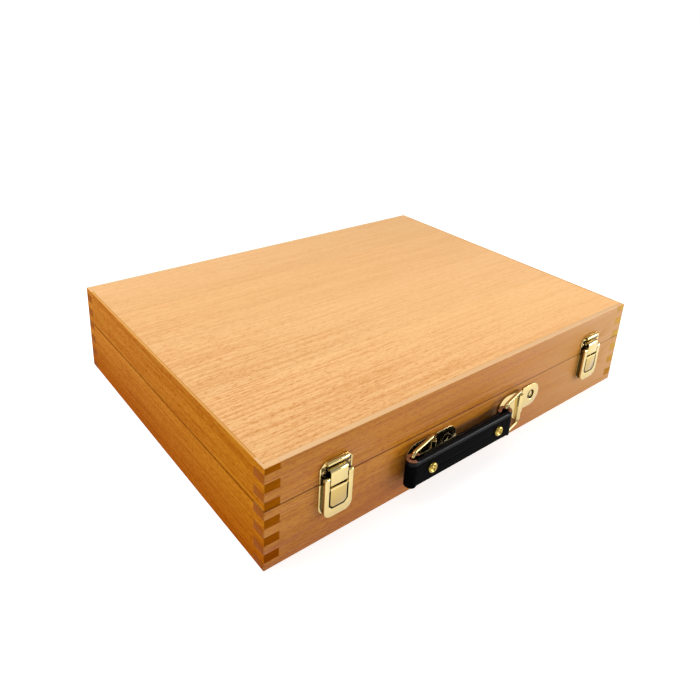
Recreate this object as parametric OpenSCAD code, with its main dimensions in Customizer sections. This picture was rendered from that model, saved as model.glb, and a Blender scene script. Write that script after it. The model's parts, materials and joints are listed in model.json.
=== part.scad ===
// Sketch box: a finger-jointed wooden case with a hinged lid, two toggle latches
// and a folding leather carrying handle. Millimetres, +Z up, front towards -Y.
// The origin is the centre of the underside.

/* [Case] */
// Length of the case along its front
box_w = 400; // [340:5:480]
// Depth of the case from front to back
box_d = 300; // [240:5:380]
// Thickness of the side, front and back boards
wall = 12; // [11:0.5:15]
// Height of one finger of the corner joints
finger_h = 6.9; // [6.5:0.1:8]
// Fingers in the height of the base, an odd number
base_fingers = 7; // [7:2:9]
// Height of the lid above the saw cut
lid_h = 32.6; // [30:0.2:45]
// Width of the saw cut between base and lid
saw_gap = 0.4; // [0.3:0.1:0.8]
// Rounding of the outer arrises
arris_r = 1; // [0.5:0.1:1.5]

/* [Panels and dividers] */
// Thickness of the top and bottom panels
panel_t = 4.5; // [3:0.5:6]
// Board left standing beside a panel at the left and right
panel_side_lip = 2.2; // [1.5:0.1:5]
// Board left standing beside a panel at the front and back
panel_front_lip = 4.5; // [2:0.1:6]
// Thickness of the dividers
divider_t = 5; // [4:0.5:8]
// Height of the dividers above the bottom panel
divider_h = 34; // [20:1:36]
// Clear depth of the brush compartment along the back
brush_bay = 78; // [50:1:100]
// Distance between the two cross dividers
cross_pitch = 132; // [80:1:180]

/* [Hinges] */
// Distance from each end of the case to the middle of the hinge
hinge_in = 75; // [40:5:120]
// Length of a hinge along the pin
hinge_w = 39; // [30:1:50]
// Depth of a hinge leaf let into the board's edge
leaf_d = 10; // [8:0.5:10]
// Thickness of a hinge leaf
leaf_t = 1.6; // [1.2:0.1:2]
// Radius of the hinge barrel
barrel_r = 3; // [2.6:0.1:3.5]
// Radius of the hinge pin
hinge_pin_r = 1.5; // [1.2:0.1:1.7]
// Radius of a hinge screw's shank
hinge_screw_r = 1.2; // [1:0.1:1.4]

/* [Latches] */
// Distance from the left end of the case to the middle of the left latch
latch_left_in = 55.2; // [35:0.1:100]
// Distance from the right end of the case to the middle of the right latch
latch_right_in = 51.7; // [35:0.1:100]
// Width of the plates screwed to base and lid
latch_plate_w = 27; // [26:0.5:32]
// Width of the lever
lever_w = 23.4; // [23:0.1:25]
// Width of the hook plate
hook_w = 14; // [10:0.5:14.5]
// Thickness of the sheet brass
sheet_t = 0.8; // [0.6:0.05:0.9]
// How far the lever's face stands proud of the front
lever_proud = 4.8; // [4.6:0.1:5.2]
// Height of the lever's lower edge
lever_low_z = 21.7; // [16:0.1:23]
// Height of the lever's pivot above the saw cut
lever_pivot_up = 3.7; // [3.5:0.1:4]
// Distance from the lever's pivot down to the hook's pivot
toggle_throw = 4.4; // [4.2:0.1:4.6]
// How far the keeper's catch rib stands proud of the front
catch_proud = 2.2; // [2:0.05:2.3]

/* [Handle] */
// Distance between the two handle plates
handle_pitch = 103.8; // [90:0.1:140]
// Place of the handle along the front, from the middle
handle_x = -1.4; // [-20:0.1:20]
// Height of the middle of the strap when the handle lies flat
strap_z = 27.1; // [24:0.1:28]
// Width of the leather strap
strap_w = 22.9; // [18:0.1:24]
// Thickness of the strap's leather
leather_t = 3; // [2.5:0.1:3.2]
// Thickness of the stiffener between the strap's two layers
filler_t = 1; // [0.8:0.1:1.4]
// Radius of the rings' wire
wire_r = 1.5; // [1.3:0.1:1.6]
// Distance between a ring's two bars
ring_reach = 27.6; // [26:0.1:32]
// Distance between the rivets
rivet_pitch = 74.2; // [60:0.1:76]
// How far the rivets' middle stands to the right of the strap's middle
rivet_off = 1.2; // [0:0.1:2]
// Gap between strap and plate when the handle lies flat
strap_rest_gap = 1.9; // [1:0.1:3]
// Length of a handle plate
plate_l = 53; // [50:0.5:58]
// Thickness of a handle plate
plate_t = 1.2; // [1:0.1:1.6]

/* [Hidden] */

$fn = 64;
past = 1;          // how far a cutter runs past the face that it cuts
fit = 0.05;        // radial running clearance of pins in their bores
side_play = 0.2;   // clearance beside a moving sheet part

// Levels of the case
base_h = base_fingers * finger_h;
box_h = base_h + lid_h;
fingers = ceil(box_h / finger_h);
base_top = base_h - saw_gap / 2;
lid_low = base_h + saw_gap / 2;
front_y = -box_d / 2;
back_y = box_d / 2;
inner_w = box_w - 2 * wall;
inner_d = box_d - 2 * wall;
bay_y = inner_d / 2 - brush_bay - divider_t;

// Hinges
hinge_pitch = box_w - 2 * hinge_in;
hinge_y = back_y + barrel_r + side_play;
hinge_z = base_h;
knuckle_gap = 0.3;
knuckle_l = hinge_w / 3;
hinge_screw_l = 10;
hinge_head_r = 2.3 * hinge_screw_r;
hinge_screw_x = hinge_w / 2 - 7;
hinge_screw_y = back_y - wall / 2;

// Latches, in distances proud of the front and heights
latch_left_x = latch_left_in - box_w / 2;
latch_right_x = box_w / 2 - latch_right_in;
latch_xs = [latch_left_x, latch_right_x];
pivot_in = 1.8;
pivot_h = lever_proud - pivot_in;
pivot_z = base_h + lever_pivot_up;
pivot_pin_r = 0.5;
lever_end_r = lever_proud - pivot_h;
hook_pivot_in = 1.5;
hook_pivot_h = lever_proud - hook_pivot_in;
hook_pivot_z = pivot_z - toggle_throw;
hook_pin_r = 0.6;
knuckle_r = lever_proud - hook_pivot_h;
tongue_clear = 1.8;
tongue_top = hook_pivot_z - tongue_clear * knuckle_r;
groove_w = 0.9;
groove_d = 1.1;
tongue_back = 0.7;
lever_back = 1;
lever_corner = 6;
groove_low = lever_low_z + 6.6;
groove_corner = 2.7;
ear_x = lever_w / 2 - sheet_t - 1.1;
ear_r = lever_end_r - sheet_t - 0.1;
ear_l = 12;
lug_t = 1.4;
plate_show = 0.8;
plate_low = lever_low_z + plate_show;
plate_round = 7;
keeper_corner = 4.5;
cut_clear = 0.3;
keeper_h = 16.2;
keeper_low = lid_low + cut_clear;
keeper_top = keeper_low + keeper_h;
catch_w = hook_w - 0.6;
catch_up = 6.4;
catch_h = 3.4;
catch_top = pivot_z + catch_up;
catch_low = catch_top - catch_h;
hook_gap = 0.3;
hook_bend_r = 3.4;
roll_r = 1.7;
roll_w = 17.4;
nail_r = 0.7;
nail_l = 8;
nail_head_r = 1.3;
nail_head_t = 0.5;
keeper_nail_in = 2.8;
keeper_nail_up = 8.4;
keeper_nail = [latch_plate_w / 2 - keeper_nail_in, keeper_low + keeper_nail_up];
plate_nail_x = 7.5;
plate_nail_up = 11;
plate_nail = [plate_nail_x, plate_low + plate_nail_up];

// Handle
plate_xs = [handle_x - handle_pitch / 2, handle_x + handle_pitch / 2];
bar_h = wire_r + 0.4;
channel_t = 0.85;
channel_r = wire_r + fit + channel_t;
ring_corner = 2 * wire_r;
ring_slack = 2.6;
ring_half = strap_w / 2 + ring_slack + wire_r;
ring_straight = ring_half - ring_corner;
channel_short = 0.6;
channel_half = ring_straight - channel_short;
lobe_r = 10.5;
lobe_x = plate_l / 2 - lobe_r;
lobe_up = 5.4;
lobe_z = strap_z + lobe_up;
tail_r = 7;
layer_in = filler_t / 2;
layer_out = layer_in + leather_t;
strap_h = bar_h + channel_r + strap_rest_gap + layer_out;
loop_in = wire_r + 0.7;
loop_out = loop_in + leather_t;
loop_sink = loop_out - layer_out;
loop_lean = 0.3;
loop_crown = 0.95;
rest_angle = asin((strap_h - loop_sink - bar_h) / ring_reach);
ring_dx = ring_reach * cos(rest_angle);
ring_notch = 0.2 + max(wire_r + fit, (plate_t + wire_r / cos(rest_angle) - bar_h) / tan(rest_angle));
strap_half = handle_pitch / 2;
rivet_r = 1.5;
rivet_xs = [rivet_off - rivet_pitch / 2, rivet_off + rivet_pitch / 2];
rivet_head_r = 4.8;
rivet_head_h = 1.8;
rivet_drop = 0.3;
rivet_back_r = 3.5;
rivet_back_t = 0.8;
loop_run = strap_half - rivet_pitch / 2 - rivet_off - rivet_back_r;
plate_screw_r = 1.7;
plate_screw_head_r = 4.6;
plate_screw_l = 9;
slot_w = 0.9;
slot_d = 0.7;

// ---- Placing helpers ----

// Extrudes a (proud, height) profile along X, centred on x
module across(x, w) {
    translate([x, front_y, 0]) mirror([0, 1, 0]) rotate([90, 0, 90])
        linear_extrude(w, center = true) children();
}

// Extrudes an (x, height) outline from h0 to h1 proud of the front
module proud(h0, h1) {
    translate([0, front_y - h0, 0]) rotate([90, 0, 0]) linear_extrude(h1 - h0) children();
}

// A round bar along X through (h, z) proud of the front
module bar_x(x, h, z, r, w) {
    translate([x, front_y - h, z]) rotate([0, 90, 0]) cylinder(r = r, h = w, center = true);
}

// Copies its children to all four quarters of the plan
module four_ways() {
    for (sx = [false, true], sy = [false, true]) flip(sx, [1, 0, 0]) flip(sy, [0, 1, 0]) children();
}

module flip(on, axis) {
    if (on) mirror(axis) children();
    else children();
}

// ---- Case boards ----

// Waste outside a rounded arris, whose corner is at the origin
module arris_waste(l) {
    linear_extrude(l) difference() {
        translate([-past, -past]) square(arris_r + past);
        translate([arris_r, arris_r]) circle(arris_r);
    }
}

// Everything that is rounded off the outside of the closed case
module case_arrises() {
    four_ways() {
        translate([-box_w / 2, front_y, -past]) arris_waste(box_h + 2 * past);
        for (top = [false, true]) translate([0, 0, top ? box_h : 0]) flip(top, [0, 0, 1]) {
            translate([-box_w / 2 - past, front_y, 0]) rotate([90, 0, 90])
                arris_waste(box_w / 2 + 2 * past);
            translate([-box_w / 2, past, 0]) rotate([90, 0, 0])
                arris_waste(box_d / 2 + 2 * past);
        }
    }
}

// Space of a panel set flush in the boards' rabbets
module panel_space(z) {
    w = box_w - 2 * panel_side_lip;
    d = box_d - 2 * panel_front_lip;
    translate([-w / 2, -d / 2, z]) cube([w, d, panel_t]);
}

module both_panels() {
    panel_space(0);
    panel_space(box_h - panel_t);
}

// Sockets for the other boards' fingers, at every second level
module finger_sockets(first, size) {
    for (i = [first : 2 : fingers - 1])
        translate([0, 0, i * finger_h]) cube([size[0], size[1], finger_h]);
}

// Front or back board between two heights; side is -1 at the front and 1 at the back
module end_board(side, z0, z1) {
    y0 = side < 0 ? front_y : back_y - wall;
    difference() {
        translate([-box_w / 2, y0, z0]) cube([box_w, wall, z1 - z0]);
        for (x = [-box_w / 2 - past, box_w / 2 - wall])
            translate([x, y0 - past, 0]) finger_sockets(1, [wall + past, wall + 2 * past]);
        both_panels();
        case_arrises();
        if (side < 0) front_holes();
        else hinge_mortises();
    }
}

// Left or right board between two heights
module side_board(side, z0, z1) {
    x0 = side < 0 ? -box_w / 2 : box_w / 2 - wall;
    difference() {
        translate([x0, front_y, z0]) cube([wall, box_d, z1 - z0]);
        for (y = [front_y - past, back_y - wall])
            translate([x0 - past, y, 0]) finger_sockets(0, [wall + 2 * past, wall + past]);
        both_panels();
        case_arrises();
    }
}

// Pilot holes of everything that is nailed or screwed to the front
module front_holes() {
    for (x = latch_xs, s = [-1, 1]) {
        front_hole(x + s * keeper_nail[0], keeper_nail[1], nail_r, nail_l);
        front_hole(x + s * plate_nail[0], plate_nail[1], nail_r, nail_l);
    }
    for (x = plate_xs, s = [-1, 1]) {
        front_hole(x + s * lobe_x, lobe_z, plate_screw_r, plate_screw_l - plate_t);
        plate_countersink(x + s * lobe_x);
    }
}

module front_hole(x, z, r, l) {
    translate([x, front_y - past, z]) rotate([-90, 0, 0]) cylinder(r = r, h = l + past);
}

// Seats of the hinge leaves with their pilot holes, in base and lid alike
module hinge_mortises() {
    for (x = [-hinge_pitch / 2, hinge_pitch / 2]) {
        translate([x - hinge_w / 2, back_y - leaf_d, base_top - leaf_t])
            cube([hinge_w, leaf_d + past, lid_low - base_top + 2 * leaf_t]);
        for (s = [-1, 1]) translate([x + s * hinge_screw_x, hinge_screw_y, hinge_z])
            cylinder(r = hinge_screw_r, h = 2 * hinge_screw_l + saw_gap, center = true);
    }
}

module base_front() color("peru") end_board(-1, 0, base_top);
module base_back() color("peru") end_board(1, 0, base_top);
module base_left() color("chocolate") side_board(-1, 0, base_top);
module base_right() color("chocolate") side_board(1, 0, base_top);
module lid_front() color("peru") end_board(-1, lid_low, box_h);
module lid_back() color("peru") end_board(1, lid_low, box_h);
module lid_left() color("chocolate") side_board(-1, lid_low, box_h);
module lid_right() color("chocolate") side_board(1, lid_low, box_h);
module bottom_panel() color("burlywood") panel_space(0);
module lid_panel() color("burlywood") panel_space(box_h - panel_t);

// ---- Dividers ----

module long_divider() color("burlywood")
    translate([-inner_w / 2, bay_y, panel_t]) cube([inner_w, divider_t, divider_h]);

module cross_divider(x) color("burlywood")
    translate([x - divider_t / 2, -inner_d / 2, panel_t])
        cube([divider_t, bay_y + inner_d / 2, divider_h]);

module cross_divider_left() cross_divider(-cross_pitch / 2);
module cross_divider_right() cross_divider(cross_pitch / 2);

// ---- Hinges ----

// A countersunk wood screw along +Z, its flat head at z = 0 and its shank below
module countersunk(r, head_r, l) {
    head_h = head_r - r;
    difference() {
        union() {
            translate([0, 0, -l]) cylinder(r = r, h = l - head_h / 2);
            translate([0, 0, -head_h]) cylinder(r1 = r, r2 = head_r, h = head_h);
        }
        translate([-head_r - past, -slot_w / 2, -slot_d])
            cube([2 * (head_r + past), slot_w, slot_d + past]);
    }
}

// Hole for such a screw's head and shank
module countersink(r, head_r) {
    head_h = head_r - r;
    translate([0, 0, -head_h]) cylinder(r1 = r, r2 = head_r, h = head_h);
    cylinder(r = head_r, h = past);
    translate([0, 0, -head_h - past]) cylinder(r = r, h = head_h);
}

module barrel_piece(x, l, r) {
    translate([x, hinge_y, hinge_z]) rotate([0, 90, 0]) cylinder(r = r, h = l, center = true);
}

// Base leaf: plate in the board's edge and the two outer knuckles
module base_leaf(x) color("gold") difference() {
    union() {
        translate([x - hinge_w / 2, back_y - leaf_d, base_top - leaf_t])
            cube([hinge_w, leaf_d, leaf_t]);
        for (s = [-1, 1]) {
            barrel_piece(x + s * knuckle_l, knuckle_l, barrel_r);
            translate([x + s * knuckle_l - knuckle_l / 2, back_y - past, base_top - leaf_t])
                cube([knuckle_l, hinge_y - back_y + past, leaf_t]);
        }
    }
    barrel_piece(x, hinge_w + 2 * past, hinge_pin_r);
    for (s = [-1, 1]) translate([x + s * hinge_screw_x, hinge_screw_y, base_top])
        countersink(hinge_screw_r, hinge_head_r);
}

// Lid leaf: plate in the board's edge and the middle knuckle
module lid_leaf(x) color("gold") difference() {
    union() {
        translate([x - hinge_w / 2, back_y - leaf_d, lid_low]) cube([hinge_w, leaf_d, leaf_t]);
        barrel_piece(x, knuckle_l - 2 * knuckle_gap, barrel_r);
        translate([x - knuckle_l / 2 + knuckle_gap, back_y - past, lid_low])
            cube([knuckle_l - 2 * knuckle_gap, hinge_y - back_y + past, leaf_t]);
    }
    barrel_piece(x, hinge_w, hinge_pin_r + fit);
    for (s = [-1, 1]) translate([x + s * hinge_screw_x, hinge_screw_y, lid_low])
        mirror([0, 0, 1]) countersink(hinge_screw_r, hinge_head_r);
}

module hinge_pin(x) color("goldenrod") barrel_piece(x, hinge_w, hinge_pin_r);

module hinge_left_base_leaf() base_leaf(-hinge_pitch / 2);
module hinge_left_lid_leaf() lid_leaf(-hinge_pitch / 2);
module hinge_left_pin() hinge_pin(-hinge_pitch / 2);
module hinge_right_base_leaf() base_leaf(hinge_pitch / 2);
module hinge_right_lid_leaf() lid_leaf(hinge_pitch / 2);
module hinge_right_pin() hinge_pin(hinge_pitch / 2);

module hinge_base_screws() color("goldenrod")
    for (x = [-hinge_pitch / 2, hinge_pitch / 2], s = [-1, 1])
        translate([x + s * hinge_screw_x, hinge_screw_y, base_top])
            countersunk(hinge_screw_r, hinge_head_r, hinge_screw_l);

module hinge_lid_screws() color("goldenrod")
    for (x = [-hinge_pitch / 2, hinge_pitch / 2], s = [-1, 1])
        translate([x + s * hinge_screw_x, hinge_screw_y, lid_low])
            mirror([0, 0, 1]) countersunk(hinge_screw_r, hinge_head_r, hinge_screw_l);

// ---- Toggle latches ----

// Plate with two cut corners at its lower end, upside down for the keeper
module cut_corner_plate(w, z0, z1, c) {
    polygon([[-w / 2 + c, z0], [w / 2 - c, z0], [w / 2, z0 + c], [w / 2, z1],
        [-w / 2, z1], [-w / 2, z0 + c]]);
}

// Plate with two rounded corners at its lower end
module round_corner_plate(w, z0, z1, r) {
    translate([-w / 2, z0 + r]) square([w, z1 - z0 - r]);
    translate([-w / 2 + r, z0]) square([w - 2 * r, 2 * r]);
    for (s = [-1, 1]) translate([s * (w / 2 - r), z0 + r]) circle(r);
}

// Plate on the base with the two ears that carry the lever
module latch_plate(x) color("khaki") difference() {
    union() {
        translate([x, 0, 0]) proud(0, sheet_t)
            round_corner_plate(latch_plate_w, plate_low, base_top - cut_clear, plate_round);
        for (s = [-1, 1]) across(x + s * ear_x, sheet_t) {
            polygon([[sheet_t / 2, pivot_z - ear_l], [sheet_t / 2, base_top - 1.4],
                [pivot_h - 0.7 * ear_r, pivot_z - 0.7 * ear_r], [pivot_h + ear_r, pivot_z],
                [pivot_h + ear_r, pivot_z - 3 * ear_r], [sheet_t, pivot_z - ear_l]]);
            translate([pivot_h, pivot_z]) circle(ear_r);
        }
    }
    bar_x(x, pivot_h, pivot_z, pivot_pin_r + fit, latch_plate_w);
    for (s = [-1, 1]) front_hole(x + s * plate_nail[0], plate_nail[1], nail_r, nail_l);
}

// Lever outline with rounded lower corners, drawn in by t all round
module lever_outline(t) round_corner_plate(lever_w - 2 * t, lever_low_z + t, pivot_z, lever_corner - t);

// Groove that runs round three sides of the lever's tongue
module tongue_groove() {
    half = hook_w / 2 + groove_w;
    difference() {
        cut_corner_plate(2 * half, groove_low, tongue_top + past, groove_corner);
        cut_corner_plate(hook_w, groove_low + groove_w, tongue_top + 2 * past, groove_corner - 0.4);
    }
}

// Pressed lever: face, skirt, tongue and the lugs that carry the hook
module latch_lever(x) color("khaki") difference() {
    union() {
        translate([x, 0, 0]) {
            proud(lever_proud - sheet_t, lever_proud) lever_outline(0);
            proud(lever_back, lever_proud) difference() {
                lever_outline(0);
                translate([0, past]) lever_outline(sheet_t);
                lever_outline(sheet_t);
            }
            proud(lever_proud - sheet_t - tongue_back, lever_proud - sheet_t)
                translate([-hook_w / 2 - 2, groove_low - past])
                    square([hook_w + 4, tongue_top - groove_low + past]);
        }
        for (s = [-1, 1]) {
            across(x + s * (lever_w - sheet_t) / 2, sheet_t)
                translate([pivot_h, pivot_z]) circle(lever_end_r);
            across(x + s * (hook_w / 2 + side_play + lug_t / 2), lug_t)
                translate([hook_pivot_h, hook_pivot_z]) circle(knuckle_r - 0.1);
        }
        across(x, lever_w) difference() {
            translate([pivot_h, pivot_z]) circle(lever_end_r);
            translate([pivot_h, pivot_z]) circle(lever_end_r - sheet_t);
            translate([pivot_h - 2 * lever_end_r, pivot_z - lever_end_r])
                square([2 * lever_end_r, 2 * lever_end_r]);
            translate([pivot_h, pivot_z - lever_end_r]) square(lever_end_r);
        }
    }
    // window of the hook, open at the top
    translate([x, 0, 0]) proud(lever_proud - 2 * knuckle_r, lever_proud + past)
        translate([-hook_w / 2 - side_play, tongue_top])
            square([hook_w + 2 * side_play, pivot_z + lever_end_r + past - tongue_top]);
    translate([x, 0, 0]) proud(lever_proud - sheet_t, lever_proud + past)
        translate([-hook_w / 2 - groove_w, tongue_top])
            square([hook_w + 2 * groove_w, pivot_z + lever_end_r + past - tongue_top]);
    translate([x, 0, 0]) proud(lever_proud - groove_d, lever_proud + past) tongue_groove();
    bar_x(x, pivot_h, pivot_z, pivot_pin_r, lever_w + past);
    bar_x(x, hook_pivot_h, hook_pivot_z, hook_pin_r, hook_w + 2 * (side_play + lug_t));
}

module latch_lever_pin(x) color("darkkhaki") bar_x(x, pivot_h, pivot_z, pivot_pin_r, lever_w);

module latch_hook_pin(x) color("darkkhaki")
    bar_x(x, hook_pivot_h, hook_pivot_z, hook_pin_r, hook_w + 2 * (side_play + lug_t));

// Hook plate: rolled round its pin below and bent over the keeper's rib above
module latch_hook(x) color("khaki") {
    bend_h = lever_proud - hook_bend_r;
    bend_z = catch_top + hook_gap + sheet_t - hook_bend_r;
    difference() {
        across(x, hook_w) {
            translate([hook_pivot_h, hook_pivot_z]) circle(knuckle_r);
            translate([lever_proud - sheet_t, hook_pivot_z])
                square([sheet_t, bend_z - hook_pivot_z]);
            difference() {
                translate([bend_h, bend_z]) circle(hook_bend_r);
                translate([bend_h, bend_z]) circle(hook_bend_r - sheet_t);
                translate([bend_h - 2 * hook_bend_r, bend_z - 2 * hook_bend_r])
                    square([2 * hook_bend_r, 4 * hook_bend_r]);
                translate([bend_h - past, bend_z - 2 * hook_bend_r])
                    square([2 * hook_bend_r, 2 * hook_bend_r]);
            }
        }
        bar_x(x, hook_pivot_h, hook_pivot_z, hook_pin_r + fit, hook_w + past);
    }
}

// Keeper on the lid: plate, catch rib and rolled upper edge
module latch_keeper(x) color("khaki") difference() {
    union() {
        translate([x, 0, 0]) proud(0, sheet_t)
            translate([0, keeper_low + keeper_top]) mirror([0, 1])
                cut_corner_plate(latch_plate_w, keeper_low, keeper_top, keeper_corner);
        across(x, catch_w) {
            translate([sheet_t / 2, catch_low])
                square([catch_proud - sheet_t / 2, catch_top - catch_low - 0.5]);
            translate([sheet_t / 2, catch_low])
                square([catch_proud - sheet_t / 2 - 0.5, catch_top - catch_low]);
            translate([catch_proud - 0.5, catch_top - 0.5]) circle(0.5);
        }
        bar_x(x, roll_r, keeper_top - roll_r, roll_r, roll_w);
    }
    bar_x(x, roll_r, keeper_top - roll_r, roll_r - sheet_t, roll_w + past);
    for (s = [-1, 1]) front_hole(x + s * keeper_nail[0], keeper_nail[1], nail_r, nail_l);
}

// Round-headed pin driven in from the front, its head on sheet brass
module nail(x, z) {
    translate([x, front_y - sheet_t, z]) rotate([90, 0, 0]) {
        cylinder(r1 = nail_head_r, r2 = nail_head_r - 0.3, h = nail_head_t);
        translate([0, 0, -sheet_t - nail_l]) cylinder(r = nail_r, h = sheet_t + nail_l);
    }
}

module latch_left_plate() latch_plate(latch_left_x);
module latch_left_lever() latch_lever(latch_left_x);
module latch_left_lever_pin() latch_lever_pin(latch_left_x);
module latch_left_hook() latch_hook(latch_left_x);
module latch_left_hook_pin() latch_hook_pin(latch_left_x);
module latch_left_keeper() latch_keeper(latch_left_x);
module latch_right_plate() latch_plate(latch_right_x);
module latch_right_lever() latch_lever(latch_right_x);
module latch_right_lever_pin() latch_lever_pin(latch_right_x);
module latch_right_hook() latch_hook(latch_right_x);
module latch_right_hook_pin() latch_hook_pin(latch_right_x);
module latch_right_keeper() latch_keeper(latch_right_x);
module latch_plate_nails() color("darkgoldenrod")
    for (x = latch_xs, s = [-1, 1]) nail(x + s * plate_nail[0], plate_nail[1]);
module keeper_nails() color("darkgoldenrod")
    for (x = latch_xs, s = [-1, 1]) nail(x + s * keeper_nail[0], keeper_nail[1]);

// ---- Handle ----

// Plate with two screw lobes, an upright channel for the ring's inner bar, and a notch
// above the channel where the ring's corner passes
module handle_plate(x) color("khaki") difference() {
    union() {
        translate([x, 0, 0]) proud(0, plate_t) {
            for (s = [-1, 1]) translate([s * lobe_x, lobe_z]) circle(lobe_r);
            translate([-lobe_x, lobe_z - lobe_r]) square([2 * lobe_x, 2 * lobe_r]);
            translate([0, strap_z - ring_straight + tail_r]) circle(tail_r);
            translate([-tail_r, strap_z - ring_straight + tail_r])
                square([2 * tail_r, lobe_z - strap_z + channel_half - tail_r]);
        }
        translate([x, front_y - bar_h, strap_z - channel_half])
            cylinder(r = channel_r, h = 2 * channel_half);
        translate([x - channel_r, front_y - bar_h, strap_z - channel_half])
            cube([2 * channel_r, bar_h, 2 * channel_half]);
    }
    translate([x, front_y - bar_h, 0]) cylinder(r = wire_r + fit, h = box_h);
    translate([x - wire_r - fit, front_y - bar_h, 0])
        cube([2 * (wire_r + fit), bar_h + past, box_h]);
    translate([x - ring_notch, front_y - plate_t - past, strap_z + ring_straight])
        cube([2 * ring_notch, plate_t + 2 * past, box_h]);
    for (s = [-1, 1]) plate_countersink(x + s * lobe_x);
}

// Screw hole of a handle plate, whose cone goes on into the wood
module plate_countersink(x) {
    translate([x, front_y - plate_t, lobe_z]) rotate([90, 0, 0])
        countersink(plate_screw_r, plate_screw_head_r);
}

// Wood screws of the handle plates; their slots stand at different angles
module handle_plate_screws() color("darkkhaki")
    for (i = [0, 1], s = [-1, 1])
        translate([plate_xs[i] + s * lobe_x, front_y - plate_t, lobe_z]) rotate([90, 0, 0])
            rotate([0, 0, 35 + 50 * i + 20 * s])
                countersunk(plate_screw_r, plate_screw_head_r, plate_screw_l);

// Wire ring in its own frame: inner bar on the Z axis, outer bar at x = ring_reach
module wire_ring() {
    for (x = [0, ring_reach]) translate([x, 0, -ring_straight]) cylinder(r = wire_r, h = 2 * ring_straight);
    for (s = [-1, 1]) {
        translate([ring_corner, 0, s * ring_half]) rotate([0, 90, 0])
            cylinder(r = wire_r, h = ring_reach - 2 * ring_corner);
        for (right = [false, true])
            translate([right ? ring_reach - ring_corner : ring_corner, 0, s * ring_straight])
                rotate([90, 0, 0]) rotate([0, 0, right ? (s > 0 ? 0 : 270) : (s > 0 ? 90 : 180)])
                    rotate_extrude(angle = 90) translate([ring_corner, 0]) circle(wire_r);
    }
}

// Ring as it lies when the handle is folded flat to the left
module handle_ring(x) color("khaki")
    translate([x, front_y - bar_h, strap_z]) rotate([0, 0, 180 + rest_angle]) wire_ring();

// Moves the strap's own plan (x along it, y towards the case) to its place
module on_strap() {
    translate([handle_x - ring_dx, front_y - strap_h, strap_z]) children();
}

// Outline of the folded strap: two layers that open into a loop at each end
module strap_outline(half_t, loop_r) {
    body_half = strap_half - loop_run;
    translate([-body_half, -half_t]) square([2 * body_half, 2 * half_t]);
    for (left = [false, true]) flip(left, [1, 0]) {
        translate([strap_half, loop_sink]) circle(loop_r);
        polygon([[body_half - past, -half_t], [strap_half, -half_t], [strap_half, loop_sink],
            [strap_half - loop_lean * loop_r, loop_sink + loop_crown * loop_r],
            [body_half, half_t], [body_half - past, half_t]]);
    }
}

module rivet_bores() {
    for (x = rivet_xs) translate([x, 0, -rivet_drop]) rotate([90, 0, 0])
        cylinder(r = rivet_r, h = 4 * layer_out, center = true);
}

module handle_strap() color("black") on_strap() difference() {
    translate([0, 0, -strap_w / 2]) linear_extrude(strap_w) difference() {
        strap_outline(layer_out, loop_out);
        strap_outline(layer_in, loop_in);
    }
    rivet_bores();
}

module handle_filler() color("saddlebrown") on_strap() difference() {
    cube([2 * (strap_half - loop_run), filler_t, strap_w - 1], center = true);
    rivet_bores();
}

// Rivets with a domed cap in front and a flat washer head behind
module handle_rivets() color("gold") on_strap()
    for (x = rivet_xs) translate([x, 0, -rivet_drop]) rotate([90, 0, 0]) {
        translate([0, 0, -layer_out]) cylinder(r = rivet_r, h = 2 * layer_out);
        translate([0, 0, -layer_out - rivet_back_t]) cylinder(r = rivet_back_r, h = rivet_back_t);
        translate([0, 0, layer_out]) rotate_extrude() intersection() {
            dome_r = (rivet_head_r * rivet_head_r + rivet_head_h * rivet_head_h) / (2 * rivet_head_h);
            translate([0, rivet_head_h - dome_r]) circle(dome_r);
            square([rivet_head_r, rivet_head_h]);
        }
    }

module handle_left_plate() handle_plate(plate_xs[0]);
module handle_right_plate() handle_plate(plate_xs[1]);
module handle_left_ring() handle_ring(plate_xs[0]);
module handle_right_ring() handle_ring(plate_xs[1]);

base_front();
base_back();
base_left();
base_right();
bottom_panel();
long_divider();
cross_divider_left();
cross_divider_right();
lid_front();
lid_back();
lid_left();
lid_right();
lid_panel();
hinge_left_base_leaf();
hinge_left_lid_leaf();
hinge_left_pin();
hinge_right_base_leaf();
hinge_right_lid_leaf();
hinge_right_pin();
hinge_base_screws();
hinge_lid_screws();
latch_left_plate();
latch_left_lever();
latch_left_lever_pin();
latch_left_hook();
latch_left_hook_pin();
latch_left_keeper();
latch_right_plate();
latch_right_lever();
latch_right_lever_pin();
latch_right_hook();
latch_right_hook_pin();
latch_right_keeper();
latch_plate_nails();
keeper_nails();
handle_left_plate();
handle_right_plate();
handle_plate_screws();
handle_left_ring();
handle_right_ring();
handle_strap();
handle_filler();
handle_rivets();
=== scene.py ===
"""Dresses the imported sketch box: oiled beech, plated brass and black strap leather.

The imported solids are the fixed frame. Each operator below makes one piece or one group
of like pieces from them, and the first to run sets the stage.
"""

import json
import math

import bmesh
import bpy
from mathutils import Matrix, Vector


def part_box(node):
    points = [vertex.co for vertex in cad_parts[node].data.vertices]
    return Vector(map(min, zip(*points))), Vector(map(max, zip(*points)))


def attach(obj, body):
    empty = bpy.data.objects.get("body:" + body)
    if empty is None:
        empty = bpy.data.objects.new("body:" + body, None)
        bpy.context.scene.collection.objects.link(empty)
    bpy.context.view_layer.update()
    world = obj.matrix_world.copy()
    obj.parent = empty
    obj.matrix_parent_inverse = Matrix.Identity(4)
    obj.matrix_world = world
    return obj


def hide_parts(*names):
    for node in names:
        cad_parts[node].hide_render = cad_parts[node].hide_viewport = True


bl_info = {
    "name": "Sketch Box Dresser",
    "version": (1, 0, 0),
    "blender": (4, 5, 0),
    "location": "View3D > Sidebar > Sketch Box",
    "description": "Dresses the solids of a wooden sketch box in wood, brass and leather",
    "category": "Object",
}

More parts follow.
